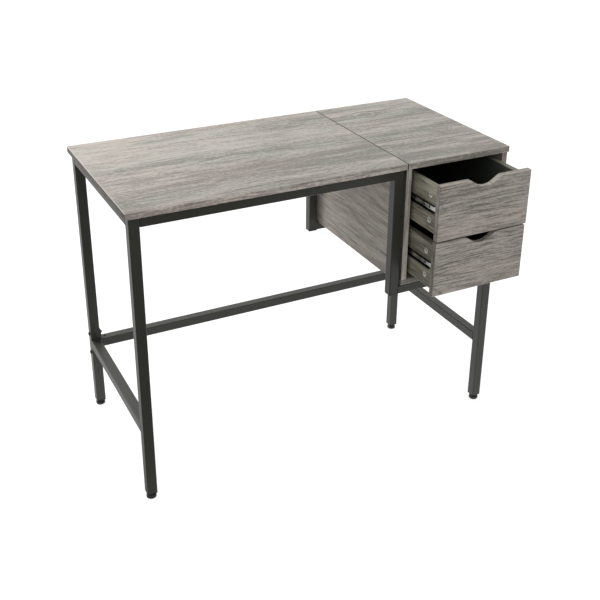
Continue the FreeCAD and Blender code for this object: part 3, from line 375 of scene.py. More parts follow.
@dataclass(frozen=True)
class Knot:
    """A knot in the print, at a place along and across the grain."""

    along: float
    across: float
    length: float = 0.034
    width: float = 0.022
    darkness: float = 0.5
    rings: float = 1.3
    ring_depth: float = 4.0
    heart_light: float = 0.6
    pull: float = 0.6
    wobbles_along: float = 60.0
    wobbles_across: float = 110.0

    def shade(self, shader: Shader, along: Signal, across: Signal) -> tuple[Signal, Signal]:
        """Darken the knot's rings and bend the grain around it.

        Args:
            shader: Tree to work in.
            along: Position along the grain.
            across: Position across the grain.

        Returns:
            How much darker the print gets, and the bent position across the grain.
        """
        first = (along - self.along) * (1.0 / self.length)
        second = (across - self.across) * (1.0 / self.width)
        square = first * first + second * second
        share = 1.0 / (square * square + 1.0)
        wobble = shader.noise((along * self.wobbles_along, across * self.wobbles_across, 0.0)).centred
        rings = shader.zigzag(square.math("SQRT", square) * self.rings + wobble)
        darker = share * (rings * self.ring_depth - self.heart_light) * self.darkness
        return darker, across - (across - self.across) * share * self.pull


@dataclass(frozen=True)
class Tones:
    """Colours of one print."""

    light: Colour
    middle: Colour
    dark: Colour
    warm: Colour
    cool: Colour
    # Pale colour of the painted highlight along the outer ends of the tops.
    painted_shine: Colour = paint(214, 208, 200)


OAK_TONES = Tones(paint(186, 179, 170), paint(152, 146, 138), paint(100, 95, 88), paint(166, 151, 143),
                  paint(143, 143, 134))
DUSK_TONES = Tones(paint(152, 149, 134), paint(123, 120, 107), paint(72, 70, 61), paint(134, 123, 107),
                   paint(114, 116, 102))


@dataclass(frozen=True)
class GrainLayer:
    """Noise that is stretched along the grain, in turns per metre along and across it."""

    along: float
    across: float
    detail: float = 1.0
    rough: float = 0.5

    def over(self, shader: Shader, place: Place) -> Signal:
        """Lay the noise over a position.

        Args:
            shader: Tree to work in.
            place: Position along the grain and the two positions across it.

        Returns:
            Noise from 0 to 1.
        """
        along, across, third = place
        spot = (along * self.along, across * self.across, third * self.across)
        return shader.noise(spot, self.detail, self.rough)


SWAY = GrainLayer(2.3, 5.0, 2.0)
BROAD = GrainLayer(1.2, 9.0, 3.0, 0.55)
STREAK = GrainLayer(3.5, 34.0, 2.0, 0.55)
DASH = GrainLayer(10.0, 270.0)
TICK = GrainLayer(17.0, 420.0)
GRIT = GrainLayer(110.0, 210.0)
PATCH = GrainLayer(1.8, 16.0, 3.0, 0.6)
CLUSTER = GrainLayer(3.0, 16.0, 2.0)
RING = GrainLayer(2.4, 10.0)
AREA = GrainLayer(4.0, 6.0)


@dataclass(frozen=True)
class FigureShare:
    """A share that changes with the figure of the print."""

    plain: float
    growth: float

    def at(self, figure: float) -> float:
        """The share for one figure."""
        return self.plain + self.growth * figure


SWAY_REACH = FigureShare(0.012, 0.030)
DASH_SHARE = FigureShare(0.6, 0.7)
TICK_SHARE = FigureShare(0.5, 0.9)
PORE_SHARE = FigureShare(0.8, -0.3)
RING_SHARE = FigureShare(0.0, 0.6)
STREAK_SHARE = 1.15
RING_COUNT = 11.0
# Shares of the painted highlights: on the rounded upper edges, and along the outer ends of the tops.
ARRIS_HIGHLIGHT_SHARE = 0.6
END_HIGHLIGHT_SHARE = 0.9
TONE_STOPS = (0.15, 0.50, 0.85)
WARM_SPAN = (0.40, 0.60)
CLUSTER_SPAN = (0.38, 0.62)
CLUSTER_RANGE = (0.2, 1.0)
PORE_SPAN = (0.56, 0.70)
LINE_SPAN = (0.13, 0.01)
AREA_SPAN = (0.44, 0.58)
ARRIS_HIGHLIGHT_SPAN = (0.95, 0.5)
FLAT_COSINE = 0.7
ROUND_COSINE = 0.35


@dataclass(frozen=True)
class OakPrint(Finish):
    """Matt grey oak print with bands, short dashes and pores along the grain."""

    grain: Axis
    edge_grain: Axis
    shift: float = 0.0
    tones: Tones = OAK_TONES
    figure: float = 0.5
    lining: Lining | None = None
    knot: Knot | None = None
    # Painted light and shade: brightness of the sides and of the ends of a board by their facing.
    side_light_gain: float = 1.0
    end_light_gain: float = 1.0
    end_dull: float = 0.0
    roughness: float = 0.60
    roughness_spread: float = 0.14
    specular: float = 0.3
    bands: float = 0.9
    speckle: float = 0.45
    tint: float = 0.32
    lift: float = 0.0
    # Partly print and partly painted light: slope and start of a lightening towards the rear of the board.
    print_and_light_fade: tuple[float, float] = (0.0, 0.0)
    # Level and side of the painted highlight along the outer end of a top.
    end_highlight: tuple[float, float] | None = None
    across_shift: float = 0.37
    third_shift: float = 0.61
    bump_strength: float = 0.12
    bump_depth: float = 0.25 * MILLIMETRE

    def coordinates(self, shader: Shader) -> Place:
        """Positions along and across the grain, turned on the end faces as an edge band is.

        Args:
            shader: Tree to work in.

        Returns:
            Position along the grain and the two positions across it.
        """
        place = shader.place()
        on_end = abs(shader.facing()[self.grain.value]) > FLAT_COSINE
        third = next(axis for axis in Axis if axis not in (self.grain, self.edge_grain))
        main = place[self.grain.value]
        other = place[self.edge_grain.value]
        return shader.between(main, other, on_end), shader.between(other, main, on_end), place[third.value]

    def on_end(self, shader: Shader) -> Signal:
        """One on the end faces and their rounds, and zero elsewhere."""
        return abs(shader.facing()[self.grain.value]) > ROUND_COSINE

    def gain(self, shader: Shader) -> Signal:
        """Painted light and shade on the edge bands: one on the faces, and its own brightness on the sides
        and on the ends, which are made lighter or darker as the light falls on them.
        """
        on_side = abs(shader.facing()[self.edge_grain.value]) > FLAT_COSINE
        return 1.0 + on_side * (self.side_light_gain - 1.0) + self.on_end(shader) * (self.end_light_gain - 1.0)

    def arris_highlight(self, shader: Shader) -> Signal:
        """Share of the painted highlight: one on the rounds along the upper edges and zero on flat faces."""
        up = shader.facing()[Axis.Z.value]
        return shader.rescale(abs(up * up * 2.0 - 1.0), ARRIS_HIGHLIGHT_SPAN)

    def tone(self, shader: Shader, bent: Place, dash: Signal) -> Signal:
        """Lightness of the print before its pores and rings.

        Args:
            shader: Tree to work in.
            bent: Position along the swaying grain and the two positions across it.
            dash: Layer of short dashes.

        Returns:
            The lightness, around one half.
        """
        slope, level = self.print_and_light_fade
        bands = BROAD.over(shader, bent).centred + STREAK.over(shader, bent).centred * STREAK_SHARE
        # Partly print and partly painted light: the board gets lighter towards the rear.
        print_and_light_fading = (shader.place()[self.edge_grain.value] - level) * slope + self.lift
        dashes = dash.centred * DASH_SHARE.at(self.figure)
        ticks = TICK.over(shader, bent).centred * TICK_SHARE.at(self.figure)
        grit = GRIT.over(shader, bent).centred * self.speckle
        return NOISE_MIDDLE + bands * self.bands + print_and_light_fading - dashes - ticks + grit

    def pigment(self, shader: Shader, tone: Signal, bent: Place, dash: Signal) -> Signal:
        """Colour of the print with its warm and cool patches and its pores.

        Args:
            shader: Tree to work in.
            tone: Lightness of the print.
            bent: Position along the swaying grain and the two positions across it.
            dash: Layer of short dashes.

        Returns:
            The colour.
        """
        tones = self.tones
        colour = shader.ramp(tone, zip(TONE_STOPS, (tones.dark, tones.middle, tones.light)))
        warmth = shader.rescale(PATCH.over(shader, bent), WARM_SPAN)
        colour = shader.blend(colour, shader.blend(tones.cool, tones.warm, warmth), self.tint)
        spread = shader.rescale(CLUSTER.over(shader, bent), CLUSTER_SPAN, CLUSTER_RANGE)
        pores = shader.rescale(dash, PORE_SPAN) * spread
        return shader.blend(colour, tones.dark, pores * PORE_SHARE.at(self.figure))

    def sockets(self, shader: Shader) -> dict[str, Any]:
        """Set up colour, gloss and texture.

        Args:
            shader: Tree to work in.

        Returns:
            Values and signals for the sockets of the surface.
        """
        tones = self.tones
        along, across, third = self.coordinates(shader)
        darker = 0.0
        if self.knot is not None:
            darker, across = self.knot.shade(shader, along, across)
        across = across + self.across_shift * self.shift
        third = third + self.third_shift * self.shift
        straight = (along + self.shift, across, third)
        sway = SWAY.over(shader, straight).centred * SWAY_REACH.at(self.figure)
        bent = (straight[0], across + sway, third + sway)
        dash = DASH.over(shader, bent)
        colour = self.pigment(shader, self.tone(shader, bent, dash) - darker, bent, dash)
        lines = shader.rescale(shader.zigzag(RING.over(shader, bent) * RING_COUNT), LINE_SPAN)
        shown = shader.rescale(AREA.over(shader, straight), AREA_SPAN)
        colour = shader.blend(colour, tones.dark, lines * shown * RING_SHARE.at(self.figure))
        # Painted light and shade: sides and ends made lighter or darker by their facing.
        colour = shader.blend(colour, self.gain(shader), 1.0, "MULTIPLY")
        # Painted highlight: the light tone laid on the rounded upper edges.
        colour = shader.blend(colour, tones.light, self.arris_highlight(shader) * ARRIS_HIGHLIGHT_SHARE)
        # Painted highlight: a pale line along the top of the outer end faces, standing in for light caught by
        # the rounded edge.
        if self.end_highlight is not None:
            level, side = self.end_highlight
            outer = shader.facing()[self.grain.value] * side > ROUND_COSINE
            on_highlight = outer * (shader.place()[Axis.Z.value] > level)
            colour = shader.blend(colour, tones.painted_shine, on_highlight * END_HIGHLIGHT_SHARE)
        if self.lining is not None:
            colour = shader.blend(colour, self.lining.colour, self.lining.inside(shader))
        dull = self.on_end(shader) * self.end_dull
        roughness = self.roughness + dash.centred * self.roughness_spread + dull
        return {"Base Color": colour, "Roughness": roughness, "Specular IOR Level": self.specular,
                "Normal": shader.bump(dash * -1.0, self.bump_strength, self.bump_depth)}


@dataclass(frozen=True)
class ZincSteel(Finish):
    """Zinc-plated steel with fine rolling lines along the length; on a slide member the rims beyond the web
    are painted dark as shade.
    """

    colour: Colour = paint(214, 216, 214)
    roughness: float = 0.30
    web: tuple[float, float] | None = None
    # Dark colour of the painted shade on the rims of a slide member.
    rim: Colour = paint(40, 43, 42)
    dull_gain: float = 0.86
    line_share: float = 0.7
    line_scale: Point = (1500.0, 14.0, 1500.0)
    bloom_scale: Point = (70.0, 45.0, 70.0)
    bloom_roughness: float = 0.08
    line_roughness: float = 0.1
    bump_strength: float = 0.06
    bump_depth: float = 0.05 * MILLIMETRE

    def sockets(self, shader: Shader) -> dict[str, Any]:
        """Set up colour, gloss and texture.

        Args:
            shader: Tree to work in.

        Returns:
            Values and signals for the sockets of the surface.
        """
        line = shader.stretched_noise(self.line_scale, rough=0.6)
        bloom = shader.stretched_noise(self.bloom_scale, 3.0, 0.6)
        mixed = line * self.line_share + bloom * (1.0 - self.line_share)
        colour = shader.ramp(mixed, [(0.35, scaled(self.colour, self.dull_gain)), (0.65, self.colour)])
        if self.web is not None:
            middle, half = self.web
            # Painted shade: the rims beyond the web are coloured dark.
            colour = shader.blend(colour, self.rim, abs(shader.place()[Axis.Z.value] - middle) > half)
        roughness = self.roughness + bloom.centred * self.bloom_roughness + line.centred * self.line_roughness
        return {"Base Color": colour, "Metallic": 1.0, "Roughness": roughness,
                "Normal": shader.bump(line, self.bump_strength, self.bump_depth)}


@dataclass(frozen=True)
class FlecksFinish(Finish):
    """A dull finish of one colour with fine pale flecks."""

    colour: Colour
    roughness: float
    flecks_per_metre: float
    detail: float
    rough: float
    pale_gain: float
    roughness_spread: float
    bump_strength: float
    bump_depth: float

    def sockets(self, shader: Shader) -> dict[str, Any]:
        """Set up colour, gloss and texture.

        Args:
            shader: Tree to work in.

        Returns:
            Values and signals for the sockets of the surface.
        """
        fleck = shader.even_noise(self.flecks_per_metre, self.detail, self.rough)
        colour = shader.ramp(fleck, [(0.35, self.colour), (0.70, scaled(self.colour, self.pale_gain))])
        roughness = self.roughness + fleck.centred * self.roughness_spread
        return {"Base Color": colour, "Roughness": roughness,
                "Normal": shader.bump(fleck, self.bump_strength, self.bump_depth)}


@dataclass(frozen=True)
class MouldedPlastic(FlecksFinish):
    """Black moulded plastic with a fine spark texture."""

    colour: Colour = paint(30, 30, 30)
    roughness: float = 0.48
    flecks_per_metre: float = 1300.0
    detail: float = 2.0
    rough: float = 0.6
    pale_gain: float = 1.5
    roughness_spread: float = 0.12
    bump_strength: float = 0.10
    bump_depth: float = 0.08 * MILLIMETRE


@dataclass(frozen=True)
class PaintedFibreboard(FlecksFinish):
    """Thin dark fibreboard with a faint felt texture."""

    colour: Colour = paint(33, 33, 30)
    roughness: float = 0.70
    flecks_per_metre: float = 420.0
    detail: float = 3.0
    rough: float = 0.65
    pale_gain: float = 1.45
    roughness_spread: float = 0.15
    bump_strength: float = 0.15
    bump_depth: float = 0.10 * MILLIMETRE


@dataclass(frozen=True)
class PlainBeech(Finish):
    """Raw beech of the dowels, with short flecks."""

    light: Colour = paint(214, 186, 148)
    dark: Colour = paint(186, 152, 112)
    fleck_scale: Point = (900.0, 900.0, 120.0)
    roughness: float = 0.6
    roughness_spread: float = 0.1

    def sockets(self, shader: Shader) -> dict[str, Any]:
        """Set up colour, gloss and texture.

        Args:
            shader: Tree to work in.

        Returns:
            Values and signals for the sockets of the surface.
        """
        fleck = shader.stretched_noise(self.fleck_scale, rough=0.6)
        colour = shader.ramp(fleck, [(0.35, self.dark), (0.65, self.light)])
        roughness = self.roughness + fleck.centred * self.roughness_spread
        return {"Base Color": colour, "Roughness": roughness}


def dress(nodes: Iterable[str], material: bpy.types.Material) -> None:
    """Put one material on all faces of some CAD nodes.

    Args:
        nodes: Names of the nodes.
        material: Material for them.
    """
    for name in nodes:
        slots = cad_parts[name].data.materials
        slots.clear()
        slots.append(material)
        log.info("dressed %s in %s", name, material.name)


@dataclass(frozen=True)
class Solid:
    """Box of one solid of a CAD node."""

    low: Vector
    high: Vector

    @property
    def middle(self) -> Vector:
        """Centre of the box."""
        return (self.low + self.high) / 2

    @property
    def size(self) -> Vector:
        """Lengths of the box."""
        return self.high - self.low


def solids_of(node: str) -> list[Solid]:
    """Find the separate solids of a CAD node.

    Args:
        node: Name of the node.

    Returns:
        The box of each solid.
    """
    copy = bmesh.new()
    copy.from_mesh(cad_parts[node].data)
    bmesh.ops.remove_doubles(copy, verts=copy.verts, dist=0.001 * MILLIMETRE)
    waiting = set(copy.verts)
    found = []
    while waiting:
        start = waiting.pop()
        island = [start]
        for vertex in island:
            for edge in vertex.link_edges:
                other = edge.other_vert(vertex)
                if other in waiting:
                    waiting.remove(other)
                    island.append(other)
        low = Vector([min(v.co[number] for v in island) for number in range(3)])
        high = Vector([max(v.co[number] for v in island) for number in range(3)])
        found.append(Solid(low, high))
    copy.free()
    return sorted(found, key=lambda solid: tuple(round(part, 5) for part in solid.middle))


class MarkShape(Enum):
    """Shapes of a small mark."""

    CROSS = "cross"
    DISC = "disc"


@dataclass
class Marks:
    """Dark crosses in screws and cams, or dark discs in holes, set out by Geometry Nodes as painted shade in
    the recesses and holes.
    """

    name: str
    body: str
    slot: str
    shape: MarkShape = MarkShape.CROSS
    width_share: float = 0.24
    disc_sides: int = 24
    thickness: float = 0.3 * MILLIMETRE
    spots: list[tuple[Vector, Vector, float]] = field(default_factory=list)

    def add(self, place: Vector, facing: Vector, reach: float) -> None:
        """Note one mark by its centre, the direction in which it looks and its width."""
        self.spots.append((place, facing, reach))

    def tree(self) -> tuple[bpy.types.NodeTree, dict[str, str]]:
        """Build the tree that sets a mark on every point.

        Returns:
            The tree and the identifiers of its inputs by name.
        """
        group = bpy.data.node_groups.new(self.name, "GeometryNodeTree")
        group.interface.new_socket("Points", in_out="INPUT", socket_type="NodeSocketGeometry")
        kinds = {"Width share": "NodeSocketFloat", "Thickness": "NodeSocketFloat",
                 "Finish": "NodeSocketMaterial"}
        named = {}
        for label, kind in kinds.items():
            named[label] = group.interface.new_socket(label, in_out="INPUT", socket_type=kind).identifier
        group.interface.new_socket("Marks", in_out="OUTPUT", socket_type="NodeSocketGeometry")
        tree = NodeTree(group)
        entry = group.nodes.new("NodeGroupInput")
        points, share, thickness, finish = (Signal(tree, entry.outputs[number]) for number in range(4))
        mark = group.nodes.new("GeometryNodeJoinGeometry")
        if self.shape is MarkShape.CROSS:
            long_side = tree.node("ShaderNodeCombineXYZ", {}, {0: 1.0, 1: share, 2: thickness})
            wide_side = tree.node("ShaderNodeCombineXYZ", {}, {0: share, 1: 1.0, 2: thickness})
            for size in (long_side, wide_side):
                group.links.new(tree.node("GeometryNodeMeshCube", {}, {"Size": size}).socket, mark.inputs[0])
        else:
            disc = tree.node("GeometryNodeMeshCylinder", {},
                             {"Vertices": self.disc_sides, "Radius": 0.5, "Depth": thickness})
            group.links.new(disc.socket, mark.inputs[0])
        facing = tree.node("GeometryNodeInputNamedAttribute", {"data_type": "FLOAT_VECTOR"},
                           {"Name": "facing"})
        reach = tree.node("GeometryNodeInputNamedAttribute", {"data_type": "FLOAT"}, {"Name": "reach"})
        turn = tree.node("FunctionNodeAlignRotationToVector", {"axis": "Z"}, {"Vector": facing})
        scale = tree.node("ShaderNodeCombineXYZ", {}, {0: reach, 1: reach, 2: 1.0})
        placed = tree.node("GeometryNodeInstanceOnPoints", {},
                           {"Points": points, "Instance": Signal(tree, mark.outputs[0]), "Rotation": turn,
                            "Scale": scale})
        solid = tree.node("GeometryNodeRealizeInstances", {}, {"Geometry": placed})
        coated = tree.node("GeometryNodeSetMaterial", {}, {"Geometry": solid, "Material": finish})
        exit_node = group.nodes.new("NodeGroupOutput")
        group.links.new(coated.socket, exit_node.inputs[0])
        return group, named

    def build(self, finish: bpy.types.Material) -> bpy.types.Object:
        """Set out the marks, bake them to one mesh and let it ride its body.

        Args:
            finish: Material of the marks.

        Returns:
            The finished object.
        """
        mesh = bpy.data.meshes.new(self.name)
        mesh.from_pydata([place for place, _, _ in self.spots], [], [])
        for label, kind in (("facing", "FLOAT_VECTOR"), ("reach", "FLOAT")):
            mesh.attributes.new(label, kind, "POINT")
        for number, (_, direction, length) in enumerate(self.spots):
            mesh.attributes["facing"].data[number].vector = direction
            mesh.attributes["reach"].data[number].value = length
        piece = bpy.data.objects.new(self.name, mesh)
        bpy.context.scene.collection.objects.link(piece)
        group, named = self.tree()
        modifier = piece.modifiers.new("marks", "NODES")
        modifier.node_group = group
        modifier[named["Width share"]] = self.width_share
        modifier[named["Thickness"]] = self.thickness
        modifier[named["Finish"]] = finish
        evaluated = piece.evaluated_get(bpy.context.evaluated_depsgraph_get())
        baked = bpy.data.meshes.new_from_object(evaluated)
        piece.modifiers.clear()
        piece.data = baked
        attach(piece, self.body)
        log.info("%s: %d marks on %s", self.name, len(self.spots), self.body)
        return piece


BLACK_BOLT = ZincSteel(paint(74, 74, 72), 0.38)
SCREW_ZINC = ZincSteel(paint(186, 186, 182), 0.34)
CAGE_ZINC = ZincSteel(paint(170, 171, 170), 0.36)
CAM_ZINC = ZincSteel(paint(232, 231, 226), 0.42)
# The side and end gains in these prints are painted light and shade: the tops' front and rear edges lighter
# and their ends darker, the ends of the drawer fronts darker.
TOP_PRINT = OakPrint(Axis.X, Axis.Y, side_light_gain=1.40, end_light_gain=0.40, end_dull=0.45, roughness=0.42,
                     specular=0.5, bands=1.25, speckle=1.15)
PANEL_PRINT = OakPrint(Axis.Y, Axis.Z)
FLOOR_PRINT = OakPrint(Axis.X, Axis.Y)
FRONT_PRINT = OakPrint(Axis.X, Axis.Z, figure=0.85, end_light_gain=0.55, bands=0.62, speckle=0.75, tint=0.20)
SIDE_PRINT = OakPrint(Axis.Y, Axis.Z, tones=DUSK_TONES, figure=0.8)
BACK_PRINT = OakPrint(Axis.X, Axis.Z, tones=DUSK_TONES)
BOX_FACES = [(0, 1, 3, 2), (4, 6, 7, 5), (0, 4, 5, 1), (2, 3, 7, 6), (0, 2, 6, 4), (1, 5, 7, 3)]
LEFTWARD = Vector((-1.0, 0.0, 0.0))
RIGHTWARD = Vector((1.0, 0.0, 0.0))
DOWNWARD = Vector((0.0, 0.0, -1.0))
HANDS = ("left", "right")


@dataclass
class TubeFrame:
    """The welded and bolted frame of square tube, with its plugs and feet."""

    tubes: tuple[str, ...] = (
        "leg_front_left", "leg_rear_left", "leg_front_right", "leg_rear_right", "upright_front",
        "upright_rear", "left_crossbar", "right_crossbar", "rear_stretcher", "stretcher_end_plates",
        "front_top_rail", "rear_top_rail", "left_top_rail", "middle_top_rail", "right_base_rail",
        "cabinet_tube_front", "cabinet_tube_rear", "rail_spigots",
    )
    plugs: tuple[str, ...] = ("leg_inserts", "upright_end_caps")
    feet: tuple[str, ...] = ("foot_front_left", "foot_rear_left", "foot_front_right", "foot_rear_right")
    screws: tuple[str, ...] = ("board_screws", "cabinet_slide_screws")
    cross_reach: float = 4.6 * MILLIMETRE

    def dress(self) -> None:
        """Coat the tubes and give plugs, feet, bolts and screws their finishes."""
        dress(self.tubes, PowderCoat().make("charcoal_powder_coat"))
        dress(self.plugs + self.feet, MouldedPlastic().make("black_plastic"))
        dress(("stretcher_bolts",), BLACK_BOLT.make("black_bolt_steel"))
        dress(self.screws, SCREW_ZINC.make("screw_zinc"))

    def build(self, recess: bpy.types.Material) -> None:
        """Paint shade into the cross recesses of the board screws, which look down, as dark crosses.

        Args:
            recess: Dark material for the painted shade in the recesses.
        """
        marks = Marks("board_screw_recesses", "desk", "bolt_steel")
        for screw in solids_of("board_screws"):
            marks.add(Vector((screw.middle.x, screw.middle.y, screw.low.z)), DOWNWARD, self.cross_reach)
        marks.build(recess)


@dataclass
class Boards:
    """The two tops and the carcass of the cabinet."""

    main_shift: float = 18.17
    cabinet_shift: float = 9.41
    left_shift: float = 7.8
    right_shift: float = 9.2
    bottom_shift: float = 11.4
    # Partly print and partly painted light: the tops get lighter towards the rear.
    fade_slope: float = 0.75
    fade_start: float = 0.21
    seam_edge: float = 0.4 * MILLIMETRE
    gap_depth: float = 25.0 * MILLIMETRE
    # Depth of the painted highlight along the outer ends of the tops.
    end_highlight: float = 1.7 * MILLIMETRE
    strip_drop: float = 12.0 * MILLIMETRE
    strip_height: float = 1.0 * MILLIMETRE
    strip_slack: float = 0.1 * MILLIMETRE
    knot: Knot = Knot(0.306, 0.204)

    def dress(self) -> None:
        """Print the boards, each with its grain along its real direction."""
        self.dress_tops()
        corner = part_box("cabinet_left_panel")[0]
        # Painted shade: the front strip of the left panel's outer face, in the gap beside the upright, is
        # coloured near-black.
        gap_shade = Lining(((Axis.X, corner.x + self.seam_edge, False),
                         (Axis.Y, corner.y + self.gap_depth, False)))
        # The end gain paints extra light onto the panel's front edge.
        left_panel = replace(PANEL_PRINT, shift=self.left_shift, figure=0.35, lining=gap_shade, end_light_gain=1.4,
                             lift=0.08)
        dress(("cabinet_left_panel",), left_panel.make("oak_print_left_panel"))
        right_panel = replace(PANEL_PRINT, shift=self.right_shift)
        dress(("cabinet_right_panel",), right_panel.make("oak_print_right_panel"))
        bottom = replace(FLOOR_PRINT, shift=self.bottom_shift)
        dress(("cabinet_bottom",), bottom.make("oak_print_bottom"))
        dress(("cabinet_back",), PaintedFibreboard().make("dark_fibreboard"))
        dress(("cabinet_dowels",), PlainBeech().make("plain_beech"))

    def dress_tops(self) -> None:
        """Print the two tops, with painted shade in the seam between them and a painted highlight along their
        outer ends.
        """
        low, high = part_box("main_top")
        # Painted highlight along the outer end of each top, above this level.
        line = high.z - self.end_highlight
        # The tops are lightened towards the rear, partly as painted light.
        top = replace(TOP_PRINT, print_and_light_fade=(self.fade_slope, low.y + self.fade_start))
        # Painted shade: the main top's edge in the seam is coloured near-black.
        main_seam_shade = Lining(((Axis.X, high.x - self.seam_edge, True),))
        main_top = replace(top, shift=self.main_shift, figure=0.35, lift=0.05, lining=main_seam_shade,
                           end_highlight=(line, LEFTWARD.x))
        dress(("main_top",), main_top.make("oak_print_main_top"))
        # Painted shade: the cabinet top's edge in the seam is coloured near-black.
        cabinet_seam_shade = Lining(((Axis.X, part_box("cabinet_top")[0].x + self.seam_edge, False),))
        cabinet_top = replace(top, shift=self.cabinet_shift, lift=-0.12, lining=cabinet_seam_shade, knot=self.knot,
                              end_highlight=(line, RIGHTWARD.x))
        dress(("cabinet_top",), cabinet_top.make("oak_print_cabinet_top"))

    def build_seam_shade_strip(self) -> None:
        """Lay a thin black strip low in the seam between the two tops as painted shade, so that the glowing
        floor does not show through the seam.
        """
        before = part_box("main_top")[1]
        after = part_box("cabinet_top")[0]
        top = before.z - self.strip_drop
        slack = self.strip_slack
        width = (before.x + slack, after.x - slack)
        length = (after.y + slack, before.y - slack)
        corners = list(itertools.product(width, length, (top - self.strip_height, top)))
        mesh = bpy.data.meshes.new("seam_strip")
        mesh.from_pydata(corners, [], BOX_FACES)
        # Black material that stands for the shade in the seam.
        mesh.materials.append(MouldedPlastic().make("seam_strip_black"))
        strip = bpy.data.objects.new("seam_strip", mesh)
        bpy.context.scene.collection.objects.link(strip)
        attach(strip, "desk")
        log.info("seam shade strip")


@dataclass
class Drawer:
    """One drawer with its fittings and the two ball slides it runs on."""

    level: str
    grain_shift: float
    lift: float
    left_shift: float = 1.9
    right_shift: float = 2.6
    back_shift: float = 3.3
    face_margin: float = 0.4 * MILLIMETRE
    cam_depth: float = 12.5 * MILLIMETRE
    cam_recess: float = 2.0 * MILLIMETRE
    cam_cross: float = 7.6 * MILLIMETRE
    screw_cross: float = 4.2 * MILLIMETRE
    size_margin: float = 0.5 * MILLIMETRE
    # Height of the rims of the drawer member that are painted dark as shade.
    shaded_rim_height: float = 3.2 * MILLIMETRE
    hole_inset: float = 31.0 * MILLIMETRE
    # Width of the dark discs painted as shade over the slide holes.
    hole_shade_width: float = 6.6 * MILLIMETRE

    def node(self, name: str) -> str:
        """Name of one of this drawer's nodes."""
        return f"{self.level}_drawer_{name}"

    def board(self, name: str, base: OakPrint, shift: float, axis: Axis, level: float, above: bool) -> None:
        """Dress one board in its own part of a print, dark on its inner side, which begins at a level."""
        own = replace(base, shift=self.grain_shift + shift, lining=Lining(((axis, level, above),)))
        dress((self.node(name),), own.make(f"oak_print_{self.level}_{name}"))

    def dress(self) -> None:
        """Print the boards outside, line them dark inside and finish the metal."""
        margin = self.face_margin
        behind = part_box(self.node("front"))[1].y - margin
        self.board("front", replace(FRONT_PRINT, lift=self.lift), 0.0, Axis.Y, behind, True)
        inner_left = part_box(self.node("left_side"))[1].x - margin
        self.board("left_side", SIDE_PRINT, self.left_shift, Axis.X, inner_left, True)
        inner_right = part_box(self.node("right_side"))[0].x + margin
        self.board("right_side", SIDE_PRINT, self.right_shift, Axis.X, inner_right, False)
        inner_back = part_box(self.node("back"))[0].y + margin
        self.board("back", BACK_PRINT, self.back_shift, Axis.Y, inner_back, False)
        dress((self.node("bottom"),), PaintedFibreboard().make(f"dark_fibreboard_{self.level}"))
        self.dress_metal()

    def dress_metal(self) -> None:
        """Finish the slides, cams and screws."""
        fixed = [f"{self.level}_{hand}_cabinet_member" for hand in HANDS]
        dress(fixed, ZincSteel().make(f"slide_zinc_{self.level}"))
        moving = [f"{self.level}_{hand}_drawer_member" for hand in HANDS]
        low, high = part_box(moving[0])
        # The web leaves out the rims, which are painted dark as shade.
        web = ((low.z + high.z) / 2, (high.z - low.z) / 2 - self.shaded_rim_height)
        dress(moving, ZincSteel(web=web).make(f"web_zinc_{self.level}"))
        cages = [f"{self.level}_{hand}_ball_cage" for hand in HANDS]
        dress(cages, CAGE_ZINC.make(f"cage_zinc_{self.level}"))
        dress((self.node("cam_fittings"),), CAM_ZINC.make(f"cam_zinc_{self.level}"))
        dress((self.node("screws"),), SCREW_ZINC.make(f"screw_zinc_{self.level}"))

    def build(self, recess: bpy.types.Material) -> None:
        """Paint dark crosses as shade into the recesses of the cams and screws, and dark discs as shade into
        the open holes of the slides.

        Args:
            recess: Dark material for the painted shade in the recesses and holes.
        """
        middle_x = sum(corner.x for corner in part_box(self.node("front"))) / 2
        marks = Marks(f"{self.level}_drive_recesses", f"{self.level}_drawer", "bolt_steel")
        for cam in solids_of(self.node("cam_fittings")):
            if abs(cam.size.x - self.cam_depth) > self.size_margin:
                continue
            self.mark(marks, cam, middle_x, self.cam_recess, self.cam_cross)
        for screw in solids_of(self.node("screws")):
            self.mark(marks, screw, middle_x, 0.0, self.screw_cross)
        marks.build(recess)
        # Painted shade: dark discs over the open holes of the slides.
        plugs = Marks(f"{self.level}_hole_plugs", f"{self.level}_drawer", "black_plastic", MarkShape.DISC)
        for hand, facing in zip(HANDS, (LEFTWARD, RIGHTWARD)):
            low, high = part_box(f"{self.level}_{hand}_drawer_member")
            x = high.x if hand == "left" else low.x
            plugs.add(Vector((x, low.y + self.hole_inset, (low.z + high.z) / 2)), facing, self.hole_shade_width)
        plugs.build(recess)

    @staticmethod
    def mark(marks: Marks, solid: Solid, middle_x: float, sunk: float, reach: float) -> None:
        """Note the recess of one fastener that looks away from the drawer's middle.

        Args:
            marks: Recesses of the drawer.
            solid: Box of the fastener.
            middle_x: Middle of the drawer.
            sunk: Depth of the head's face.
            reach: Length of the cross.
        """
        on_left = solid.middle.x < middle_x
        x = solid.low.x + sunk if on_left else solid.high.x - sunk
        marks.add(Vector((x, solid.middle.y, solid.middle.z)), LEFTWARD if on_left else RIGHTWARD, reach)


@dataclass(frozen=True)
class Lamp:
    """A square soft box."""

    name: str
    place: Point
    aim: Point
    side: float
    power: float

    def build(self) -> None:
        """Hang the lamp and aim it."""
        light = bpy.data.lights.new(self.name, "AREA")
        light.shape = "SQUARE"
        light.size = self.side
        light.energy = self.power
        lamp = bpy.data.objects.new(self.name, light)
        lamp.location = self.place
        lamp.rotation_mode = "QUATERNION"
        lamp.rotation_quaternion = (Vector(self.aim) - Vector(self.place)).to_track_quat("-Z", "Y")
        bpy.context.scene.collection.objects.link(lamp)


